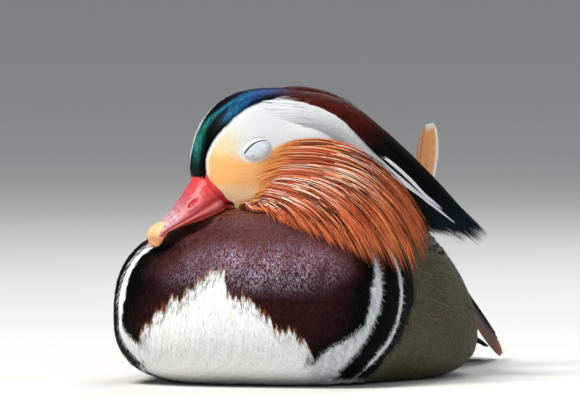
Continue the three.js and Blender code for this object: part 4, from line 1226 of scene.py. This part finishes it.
def vanes(root, middle, tip, across, width, colour, rows=14, cols=7, camber=0.9, blunt=0.8,
          box=((0, 0), (1, 1)), shape=None):
    """Broad feathers (n of each); colour(s, c) gives the colour at share s and place c across."""
    n = len(root)
    share = np.linspace(0, 1, rows)
    line = bezier(root[:, None], middle[:, None], tip[:, None], share[None, :, None])
    along = unit(np.gradient(line, axis=1))
    side = unit(across[:, None] - along * (across[:, None] * along).sum(-1, keepdims=True))
    up = unit(np.cross(side, along))
    up = up * np.where(up[:, :, 2:] < 0, -1, 1)
    if shape is None:
        ends = np.sqrt(np.clip(1 - (np.maximum(0, share - blunt) / (1 - blunt)) ** 2, 0, 1))
        shape = lerp(0.5, 1, smooth(0, 0.45, share)) * np.maximum(ends, 0.04)
    half = width / 2 * shape[None]
    c = np.linspace(-1, 1, cols)
    points = line[:, :, None] + side[:, :, None] * (half[..., None] * c)[..., None]
    bow = (0.35 * peak(c, 0.12) - camber * c * c)[None, None, :, None]
    points = points + up[:, :, None] * bow
    colours = colour(*np.broadcast_arrays(share[:, None], c[None]), n)
    # each feather has its own cell in a square part of the map
    cell = np.stack(grid_of(np.linspace(0.04, 0.96, rows), np.linspace(0.04, 0.96, cols)), -1)
    tall = math.ceil(math.sqrt(n))
    slot = np.stack([np.arange(n) % tall, np.arange(n) // tall], -1)[:, None, None]
    low, high = np.array(box, float)
    return sheets(points, colours, low + (slot + cell[None]) / tall * (high - low), pointed=False)


def plain_vane(inner, outer, edge_colour=None, tip_colour=None):
    def colour(s, c, n):
        base = blend(inner, outer, smooth(-0.2, 0.6, c))
        base = base * (0.85 + 0.15 * np.cos(40 * s + 6 * np.abs(c)))[..., None]
        if edge_colour is not None:
            base = blend(base, edge_colour, smooth(0.72, 0.92, np.abs(c)))
        if tip_colour is not None:
            base = blend(base, tip_colour, smooth(0.86, 0.95, s))
        base = blend(base, base * 0.35, peak(c, 0.1))
        return base[None] * rng.uniform(0.85, 1.15, (n, 1, 1, 1))

    return colour


def primary_colour(s, c, n):
    base = blend(rgb(84, 60, 46), rgb(40, 34, 34), smooth(-0.9, -0.1, c))
    base = blend(base, rgb(78, 64, 72), peak(c - 0.15, 0.22))
    base = blend(base, rgb(12, 13, 18), smooth(0.35, 0.6, c))
    return base[None] * rng.uniform(0.85, 1.15, (n, 1, 1, 1))


def blade_colour(s, c, n):
    place = 0.35 * c[None] + np.linspace(-0.65, 0.6, n)[:, None, None]
    base = blend(rgb(96, 70, 54), rgb(88, 68, 76), smooth(-0.45, -0.15, place))
    base = blend(base, rgb(14, 16, 24), smooth(0.05, 0.3, place))
    base = blend(base, rgb(170, 96, 54), smooth(0.85, 1.0, s)[None] * smooth(0.3, 0.0, place))
    return base * (0.9 + 0.1 * np.cos(60 * s + 9 * np.abs(c)))[None, ..., None]


def make_wing(name, side):
    parts = []
    mirror = np.array([side, 1, 1])

    def lay(root, middle, tip, normal, width, colour, box, **more):
        across = unit(np.cross(normal, tip - root))
        ends = [v * mirror for v in (root, middle, tip, across)]
        parts.append(vanes(*ends, width, colour, box=box, **more))

    def fold(t, places, lean, width, colour, box, **more):
        """Feathers at angles t round the body, through three places given by y and height over it."""
        ends = [over(y, turn, off) for (y, off), turn in zip(places, (t, t + 1, t + lean))]
        (root, _), (middle, normal), (tip, _) = ends
        lay(root, middle, tip, normal, width, colour, box, **more)

    # coverts, in overlapping rows from the shoulder; the rows get longer towards the tail
    covert = plain_vane(rgb(66, 64, 54), rgb(70, 72, 68), rgb(76, 78, 76))
    for k in range(COVERT_ROWS):
        y, count = -10 + 6.2 * k, 9 + k % 3
        i = (np.arange(count) + 0.5 + 0.12 * rng.normal(0, 1, count)) / count
        t = 54 + 22 * (1 - abs(y - 36) / 90) * (-0.95 + 1.9 * i)
        long = (15 + 1.6 * k) * rng.uniform(0.92, 1.08, count)
        off = 1.2 * smooth(40, 58, t)
        places = [(y, 0.8), (y + long / 2, off + 0.5), (y + long, off)]
        box = ((0.09 * k, 0), (0.09 * k + 0.088, 0.098))
        fold(t, places, 2, 9.5, covert, box, rows=9, blunt=0.5, camber=0.5)
    # long scapulars along the back
    scapular = plain_vane(rgb(56, 52, 46), rgb(62, 58, 52), rgb(84, 80, 74))
    places = [(20, 0.5), (50, 4.6), (84, 4.6)]
    fold(np.linspace(60, 84, 5), places, 2, 9.0, scapular, ((0, 0.1), (0.3, 0.4)))
    # secondaries with a blue-green mirror and white tips
    secondary = plain_vane(BRONZE, rgb(26, 84, 92), None, SNOW)
    places = [(46, 2.2), (68, 4.6), (92, 5.2)]
    fold(np.linspace(51, 64, 7), places, 3, 9.0, secondary, ((0.3, 0.1), (0.6, 0.4)))
    # tertials over the rump
    tertial = plain_vane(BRONZE, rgb(42, 60, 66), BROWN * 0.7)
    i = np.arange(5)
    places = [(52, 3.0), (78, 5.2 + 0.5 * i), (103.0 - 3 * i, 6.4)]
    fold(54 + 7.0 * i, places, 3, 13.0, tertial, ((0.6, 0.1), (0.9, 0.4)))
    # primaries: a long blade past the flank, brown with a mauve stripe and a blue-black upper edge
    i = np.linspace(0, 1, 7)
    root, _ = over(50, lerp(36, 50, i), -1.5)
    middle = through([(43, 99, 13), (38, 104, 21), (31, 114, 33)], i)
    tip = through([(33.5, 164, 2.2), (33.4, 162.5, 4), (33.2, 160, 6.2), (32.8, 156, 10)], i)
    facing = unit(through([(0.9, 0.15, 0.45), (0.6, 0.15, 0.7)], i))
    lay(root, middle, tip, facing, 8.5, blade_colour, ((0, 0.4), (0.4, 0.8)), rows=24, blunt=0.5)
    # and the shorter ones above it
    i = np.linspace(0, 1, 5)
    root, _ = over(50, lerp(50, 62, i), -1.5)
    middle = through([(29, 106, 32), (21, 108, 41)], i)
    tip = through([(28, 142, 15), (13, 140, 27)], i)
    facing = unit(through([(0.6, 0.15, 0.7), (0.35, 0.15, 0.9)], i))
    lay(root, middle, tip, facing, 9.5, primary_colour, ((0.4, 0.4), (0.8, 0.8)), rows=22, blunt=0.55)
    piece("wing_" + name + "_feathers", parts, QUILL, ("wing_" + name,))


make_wing("left", 1)
make_wing("right", -1)


def sail_colour(s, c, n):
    base = blend(rgb(214, 128, 62), rgb(232, 160, 92), smooth(-0.6, 0.6, c))
    base = base * (0.88 + 0.12 * np.cos(90 * s + 14 * np.abs(c)) * np.cos(9 * c + 2 * s))[..., None]
    base = blend(base, rgb(128, 68, 34), 0.8 * peak(c + 0.35, 0.07))
    base = blend(base, rgb(150, 84, 44), 0.6 * peak(c - 0.3, 0.12) * smooth(0.9, 0.5, s))
    front, tip = smooth(0.76, 0.92, c) * smooth(0.4, 0.7, s), smooth(0.92, 1.0, s) * smooth(-0.3, 0.3, c)
    base = blend(base, rgb(232, 228, 220), np.maximum(front, tip))
    base = blend(base, rgb(40, 42, 60), smooth(-0.86, -0.95, c) * smooth(0.3, 0.6, s))
    return np.broadcast_to(base[None], (n, *base.shape))


def make_sail(name, side):
    rows = 28
    share = np.linspace(0, 1, rows)
    shape = np.sqrt(np.clip(1 - (np.maximum(0, share - 0.75) / 0.27) ** 2, 0.01, 1))
    shape = np.minimum(1, 0.6 + 0.55 * share) * shape
    root, middle, tip, across = ([25.0, 58, 56], [27.0, 79, 70], [28.3, 76, 93], [-0.03, 0.96, -0.26])
    ends = [np.array([v]) * [side, 1, 1] for v in (root, middle, tip, across)]
    parts = [vanes(*ends, 31.0, sail_colour, rows=rows, cols=21, camber=1.2, shape=shape)]
    piece("sail_" + name + "_feather", parts, SAIL, ("sail_" + name,))


make_sail("left", 1)
make_sail("right", -1)


def make_tail():
    parts = []
    # count, y and z of the roots, length, width, droop, step down to the next, colour, part of the map
    fans = [
        (14, 82, 40, 92, 14, 27, 1.2, plain_vane(rgb(48, 42, 34), rgb(40, 46, 38), rgb(70, 62, 50)),
         ((0, 0), (0.5, 0.5))),
        (9, 80, 43.5, 50, 13, 12.5, 1.2, plain_vane(BROWN, BRONZE, BROWN * 1.4), ((0.5, 0), (1, 0.5))),
        (8, 74, 46.5, 34, 12, 5.5, 1.3, plain_vane(BRONZE, BROWN, BRONZE * 1.4), ((0, 0.5), (0.5, 1))),
        (7, 84, 27, 52, 13, 9, 0.5, plain_vane(SNOW, SNOW * 0.9), ((0.5, 0.5), (1, 1))),
    ]
    for count, y, z, long, wide, droop, step, colour, box in fans:
        a = np.linspace(-1, 1, count)
        yaw = np.radians(13 * a)
        base = np.stack([9 * a, y + 0 * a, z - step * np.abs(a) * (count - 1) / 2], -1)
        reach = long * (1 - 0.08 * a * a) * rng.uniform(0.97, 1.02, count)
        tip = base + np.stack([np.sin(yaw) * reach, np.cos(yaw) * reach, 0 * a - droop], -1)
        middle = (base + tip) / 2 + [0, 0, 3]
        across = np.stack([np.cos(yaw), -np.sin(yaw), -0.3 * a - 0.04], -1)
        parts.append(vanes(base, middle, tip, across, wide, colour, box=box))
    piece("tail_vanes", parts, QUILL, ("tail",))


make_tail()


# Eyelids, closed: a soft dome with a dark slit above its middle

LID_DOME = 2.2


def make_lid(name, side):
    out = unit(np.array([1, -0.22, 0.16]))
    long = unit(np.array([0.16, math.cos(LID_TILT), math.sin(LID_TILT)]))
    high = unit(np.cross(out, long))
    high = high if high[2] > 0 else -high
    r, t = ring_grid(44, 120)
    u, v = r * np.cos(t), r * np.sin(t)
    dome = np.sqrt(np.clip(1 - r**2.4, 0, 1))
    # the slit bows up over the middle of the lids, and the lower lid has soft creases
    slit = v - (0.6 - 0.55 * ((u - 0.15) / 1.05) ** 2)
    inside = smooth(-0.98, -0.88, u) * smooth(0.88, 0.78, u)
    groove = peak(slit, lerp(0.075, 0.04, smooth(-0.8, 0.6, u))) * inside
    lip = peak(slit + 0.15, 0.09) * inside
    below = smooth(0.3, -0.3, v - 0.4 * u)
    folds = 0.045 * np.sin(24 * (r + 0.1 * v) + 2 * u) * smooth(0.5, 0.95, r)
    folds = folds - 0.16 * peak(r - 0.93, 0.03) * below
    spot = peak(u + 0.5, 0.07) * peak(v + 0.53, 0.06)
    lift = LID_DOME * dome - 0.5 * groove + 0.14 * lip + folds - 0.1 * spot
    p = LID_AT + long * (LID_LONG * u)[..., None] + high * (LID_HIGH * v)[..., None] + out * lift[..., None]
    tint = blend(rgb(222, 226, 236), rgb(198, 203, 216), 0.5 + 0.5 * ripple(p, 1.1, 3))
    tint = blend(tint, BROW_WHITE, np.clip(smooth(0.8, 0.97, r) + 0.7 * (slit > 0.1), 0, 1))
    # painted shade along the lower lid's crease
    tint = blend(tint, rgb(150, 152, 164), 0.6 * peak(r - 0.94, 0.03) * below)
    tint = blend(tint, rgb(60, 60, 66), 0.8 * spot)
    tint = blend(tint, rgb(14, 20, 22), np.clip(1.6 * groove, 0, 1))
    uv = 0.5 + 0.48 * np.stack([u, v], -1)
    solid("eyelid_" + name, to_world(p * [side, 1, 1]), tint, uv, LID, ("eye_" + name,))


make_lid("left", 1)
make_lid("right", -1)


# Bill

# y and z of the bill's cutting edge at the corner of the mouth and at the tip, before the hook
GAPE, LIP = np.array([-10.0, -19.7]), np.array([-36.2, -31.0])
HOOK, HOOK_FROM = 4.4, 0.84
BILL_HALF = (8.0, 6.0)  # half the width at the root and near the tip
NOSTRIL_LONG, NOSTRIL_HIGH, NOSTRIL_DEEP = 2.7, 1.15, 0.85
# the ridge of the bill, from the forehead to the nail
CULMEN = [(0, -12, -5), (0, -18.9, -11.2), (0, -23.3, -17.3), (0, -27.7, -22.4), (0, -32.3, -26.2),
          (0, -36.5, -29.2), (0, -38, -33.4)]


def bill_half(a):
    """Half the bill's width at share a of its length."""
    blunt = np.sqrt(np.clip(1 - (np.maximum(0, a - 0.8) / 0.2) ** 2, 0, 1))
    return lerp(*BILL_HALF, smooth(0, 0.75, a)) * lerp(0.12, 1, blunt)


def tomium(a):
    """The middle of the upper bill's cutting edge, which hooks down at its tip."""
    p = GAPE + (LIP - GAPE) * a[..., None]
    return np.stack([0 * a, p[..., 0], p[..., 1] - HOOK * smooth(HOOK_FROM, 1, a) ** 2], -1)


def upper_bill(a, t, swell=0.0):
    """Points of the upper bill at share a of its length and angle t round it, swell outside it."""
    low, top = tomium(a), through(CULMEN, a)
    rise = top - low
    deep = np.linalg.norm(rise, axis=-1)
    n = np.sin(t)
    arch = np.abs(n) ** 0.8 * deep * (1 - 0.75 * smooth(0.93, 1, a)) + swell * n
    height = np.where(n > 0, arch, -0.06 * deep)
    p = low + rise / deep[..., None] * height[..., None]
    return p + np.stack([(bill_half(a) + swell) * power(np.cos(t), 0.85), 0 * a, 0 * a], -1)


def on_bill(a, degrees):
    return upper_bill(np.array([a]), np.radians([degrees]))[0]


# the edge of the bill's bare skin on the face, from the forehead down to the corner of the mouth
COLLAR = [(0, -18.1, -10.6), (2.7, -17.9, -9.6), (5.2, -17.7, -8.4), (6.7, -17.2, -10.2),
          (7.9, -16.7, -11.7), (9.3, -15.4, -13.5), (10.2, -13.7, -15.4), (10.3, -12.1, -17),
          (9.9, -11.1, -18.4), (10.1, -9, -19.5), (9.7, -7.1, -20.7)]


def collar():
    """Bare red skin where the bill meets the face, rolled at its edge and dark-speckled."""
    w, q = np.linspace(-1, 1, 121), np.linspace(0, 1, 12)
    side = np.abs(w)[:, None]
    rim = through(COLLAR, np.abs(w)) * np.stack([np.sign(w), 1 + 0 * w, 1 + 0 * w], -1)
    h = rim[:, None] + (np.array([0, -25.0, -19.0]) - rim[:, None]) * (0.42 * q)[None, :, None]
    at, normal = snap(to_world(h))
    roll = 0.55 * np.sin(np.pi * np.clip(0.1 + 1.1 * q, 0, 1)) - 0.05 + 0 * side
    p = at + normal * roll[..., None]
    tone = blend(rgb(212, 56, 62), rgb(176, 30, 34), smooth(0.55, 0.8, side) + 0 * q)
    specks = (ripple(h, 0.4, 9) > 0.3) * smooth(0.5, 0.1, q) * smooth(0.2, 0.35, side)
    tone = blend(tone, SPECK, 0.75 * specks)
    tone = blend(tone, rgb(34, 16, 18), smooth(0.86, 0.96, side) + 0 * q)
    uv = np.stack(grid_of(np.linspace(0.01, 0.2, 121), np.linspace(0.9, 0.99, 12)), -1)
    return sheets(p[None], tone[None], uv[None], pointed=False)


def horn(name, p, colours, look, replaced):
    """A closed part of the bill, given in the head's frame, in place of one solid."""
    p = to_world(p)
    p[0], p[-1] = p[0].mean(0), p[-1].mean(0)
    s, t = ring_grid(*p.shape[:2])
    uv = np.stack([s, t / (2 * np.pi)], -1) * 0.98 + 0.01
    solid(name, p, colours, uv, look, (replaced,))


def make_upper_bill():
    s, t = ring_grid(150, 160)
    a, n = lerp(0.0, 0.985, s), np.sin(t)
    p = upper_bill(a, t)
    # an oval nostril with a raised rim on either side
    front, rear = on_bill(0.41, 45), on_bill(0.29, 40)
    along = unit(front - rear)
    across = on_bill(0.35, 52) - on_bill(0.35, 34)
    across = unit(across - along * (along @ across))
    q = np.abs(p) * [1, 0, 0] + p * [0, 1, 1] - (rear + front) / 2
    oval = np.hypot((q @ along) / NOSTRIL_LONG, (q @ across) / NOSTRIL_HIGH)
    near = peak(q @ np.cross(along, across), 3) * (n > 0.05)
    hollow = smooth(1.05, 0.6, oval) * near
    rim = peak(oval - 1.3, 0.28) * near
    halo = smooth(3.2, 1.4, oval) * near
    # the rolled edge of the mouth with a groove over it
    roll = peak(n - 0.04, 0.06) * smooth(0.0, 0.15, a)
    furrow = peak(n - 0.17, 0.06) * smooth(0.02, 0.2, a)
    wrinkle = 0.06 * ripple(p, 0.9, 6) + 0.05 * ripple(p, 0.45, 2)
    way = unit(np.stack([np.cos(t), 0 * t, np.maximum(n, 0)], -1))
    height = 0.25 * rim - NOSTRIL_DEEP * hollow + 0.22 * roll - 0.2 * furrow + wrinkle
    p = p + way * height[..., None]
    # rose at the root, mauve over the middle and paler on top, partly as painted highlight, red along the
    # mouth
    tone = blend(rgb(206, 62, 66), rgb(184, 84, 94), smooth(0.15, 0.45, a))
    mauve = smooth(0.3, 0.62, a) * smooth(0.2, 0.65, n) * (0.85 + 0.25 * ripple(p, 1.6, 3))
    tone = blend(tone, rgb(204, 166, 178), mauve)
    tone = blend(tone, rgb(222, 96, 98), 0.7 * halo)
    tone = blend(tone, rgb(158, 26, 30), smooth(0.42, 0.12, n) * (1 - 0.3 * a))
    blotch = smooth(0.2, 0.35, a) * (1 - smooth(0.7, 0.85, a)) * smooth(0.2, 0.4, n)
    tone = blend(tone, rgb(120, 66, 82), 0.5 * smooth(0.1, 0.5, ripple(p, 1.2, 12)) * blotch)
    tone = tone * (1 + 0.12 * ripple(p, 2.2, 4) + 0.16 * ripple(p, 0.7, 8))[..., None]
    specks = (ripple(p, 0.42, 9) > 0.42) * smooth(0.5, 0.15, n) * smooth(0.4, 0.1, a)
    tone = blend(tone, SPECK, 0.7 * specks)
    tone = blend(tone, rgb(222, 34, 40), np.clip(hollow * 1.3, 0, 1))
    # painted shade deep in the nostril's hollow, and a painted highlight on its rim
    tone = blend(tone, rgb(120, 20, 24), 0.8 * peak(oval - 0.1, 0.45) * near)
    tone = blend(tone, rgb(236, 150, 150), 0.45 * rim)
    # painted highlight along the rolled edge of the mouth
    tone = blend(tone, rgb(238, 140, 134), 0.75 * roll)
    horn("bill_upper_skin", p, tone, BILL, "bill_upper")


def make_nail():
    s, t = ring_grid(70, 96)
    n = np.sin(t)
    # the nail reaches furthest back along the ridge
    a = lerp(lerp(0.93, 0.66, smooth(0.45, 0.98, n)), 1.0, s)
    p = upper_bill(a, t)
    swell = 0.34 * smooth(0, 0.12, s) + 0.03 * ripple(p, 1.1, 3)
    p = p + (upper_bill(a, t, 1.0) - p) * swell[..., None]
    tone = blend(rgb(236, 196, 146), rgb(216, 146, 88), smooth(0.84, 1.0, a + 0.03 * ripple(p, 2, 1)))
    tone = blend(tone, rgb(216, 140, 84), 0.6 * smooth(0.5, 0.0, n))
    tone = blend(tone, rgb(150, 84, 52), 0.6 * (ripple(p, 0.6, 5) > 0.5) * smooth(0.85, 1, a))
    tone = blend(tone, rgb(226, 172, 160), 0.5 * smooth(0.1, 0.0, s))
    horn("bill_nail_horn", p, tone, NAIL, "bill_nail")


def make_lower_bill():
    s, t = ring_grid(70, 80)
    a = lerp(0.0, 0.93, (1 - np.cos(np.pi * s)) / 2)
    n = np.sin(t)
    top = tomium(a)
    up = unit(through(CULMEN, a) - top)
    down = 0.7 + np.where(n < 0, -n * 3.0 * lerp(1, 0.55, a), 0)
    across = (bill_half(a) - 0.6) * power(np.cos(t), 0.8)
    p = top - up * down[..., None] + np.stack([across, 0 * a, 0 * a], -1)
    # painted highlight as a lighter band along the side, and painted shade towards the underside
    tone = blend(rgb(196, 38, 38), rgb(222, 92, 84), smooth(-0.1, -0.4, n))
    tone = blend(tone, rgb(120, 26, 26), smooth(-0.6, -0.95, n))
    tone = tone * (1 + 0.12 * ripple(p, 1.0, 4))[..., None]
    horn("bill_lower_skin", p, tone, BILL, "bill_lower")


make_upper_bill()
piece("bill_collar", [collar()], BILL)
make_nail()
make_lower_bill()


# Feet

def scaly_skin():
    made, tree, shader = plain("leg_skin_scales", {"Roughness": 0.55})
    place = node(tree, "TexCoord", {}).outputs["Object"]
    cells = node(tree, "TexVoronoi", {"Vector": place, "Scale": 900}).outputs["Distance"]
    ramp = node(tree, "ValToRGB", {"Fac": cells})
    ramp.color_ramp.elements[0].color = (*rgb(214, 140, 70), 1)
    ramp.color_ramp.elements[1].color = (*rgb(150, 88, 44), 1)
    fill(tree, shader, {"Base Color": ramp.outputs["Color"]})
    emboss(tree, shader, cells, 0.5, 0.3 * MM)
    return made


scales = scaly_skin()
for leg in ("leg_left", "leg_right"):
    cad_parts[leg].data.materials.clear()
    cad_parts[leg].data.materials.append(scales)


# Camera, floor and light, in metres

VIEW_FROM = 17  # degrees from straight in front to where the camera stands, on the duck's left
CAMERA_DISTANCE, CAMERA_HEIGHT = 4.0, 2  # metres, degrees
CAMERA_AIM, AIM_RIGHT = Vector((0, -0.045, 0.0668)), 0.01073
VIEW_WIDTH = 0.37 * 580 * MM  # width of the view at the breast
SENSOR = 36.0
LIGHTS_AIM = Vector((0, 0, 0.05))
FLOOR_HALF, WALL_AT, WALL_BEND, WALL_HIGH = 18.0, 15.0, 1.5, 5.0


def direction(azimuth, elevation):
    """The way to a place, in degrees from straight in front and over the floor."""
    a, e = math.radians(azimuth), math.radians(elevation)
    return Vector((math.sin(a) * math.cos(e), -math.cos(a) * math.cos(e), math.sin(e)))


def face_back(obj, way):
    obj.rotation_euler = way.to_track_quat("Z", "Y").to_euler()


def make_stage():
    """A floor that bends up into a wall behind."""
    profile = [(-FLOOR_HALF, 0.0), (WALL_AT, 0.0)]
    for a in np.linspace(0.1, math.pi / 2, 10):
        profile.append((WALL_AT + WALL_BEND * math.sin(a), WALL_BEND * (1 - math.cos(a))))
    profile.append((WALL_AT + WALL_BEND, WALL_HIGH))
    turn = Matrix.Rotation(math.radians(VIEW_FROM), 3, "Z")
    points = [turn @ Vector((x, y, z)) for y, z in profile for x in (-FLOOR_HALF, FLOOR_HALF)]
    faces = [(2 * i, 2 * i + 1, 2 * i + 3, 2 * i + 2) for i in range(len(profile) - 1)]
    mesh = bpy.data.meshes.new("floor")
    mesh.from_pydata(points, [], faces)
    mesh.polygons.foreach_set("use_smooth", [True] * len(faces))
    paper, _, _ = plain("stage_paper", {"Base Color": (0.76, 0.76, 0.74, 1), "Roughness": 0.9})
    mesh.materials.append(paper)
    linked("floor", mesh)


def make_camera():
    way = direction(VIEW_FROM, CAMERA_HEIGHT)
    right = direction(VIEW_FROM + 90, 0)
    data = bpy.data.cameras.new("camera")
    data.sensor_width = SENSOR
    data.lens = CAMERA_DISTANCE / VIEW_WIDTH * SENSOR
    data.clip_end = 50
    camera = linked("camera", data)
    camera.location = CAMERA_AIM + right * AIM_RIGHT + way * CAMERA_DISTANCE
    face_back(camera, way)
    bpy.context.scene.camera = camera


def area_light(name, azimuth, elevation, distance, size, watts, colour=(1, 1, 1)):
    way = direction(azimuth, elevation)
    light = bpy.data.lights.new(name, "AREA")
    light.shape = "DISK"
    light.size = size
    light.energy = watts
    light.color = colour
    obj = linked(name, light)
    obj.location = LIGHTS_AIM + way * distance
    face_back(obj, way)


def make_world():
    world = bpy.data.worlds.new("studio")
    world.use_nodes = True
    sky = world.node_tree.nodes["Background"]
    sky.inputs["Color"].default_value = (0.86, 0.9, 0.95, 1)
    sky.inputs["Strength"].default_value = 0.32
    bpy.context.scene.world = world


make_stage()
make_camera()
area_light("key", -25, 52, 1.6, 0.7, 29, (1, 0.97, 0.92))
area_light("fill", 75, 25, 1.8, 1.2, 6, (0.9, 0.95, 1))
area_light("rim", 170, 45, 1.6, 0.8, 10)
make_world()
bpy.context.scene.view_settings.view_transform = "Standard"
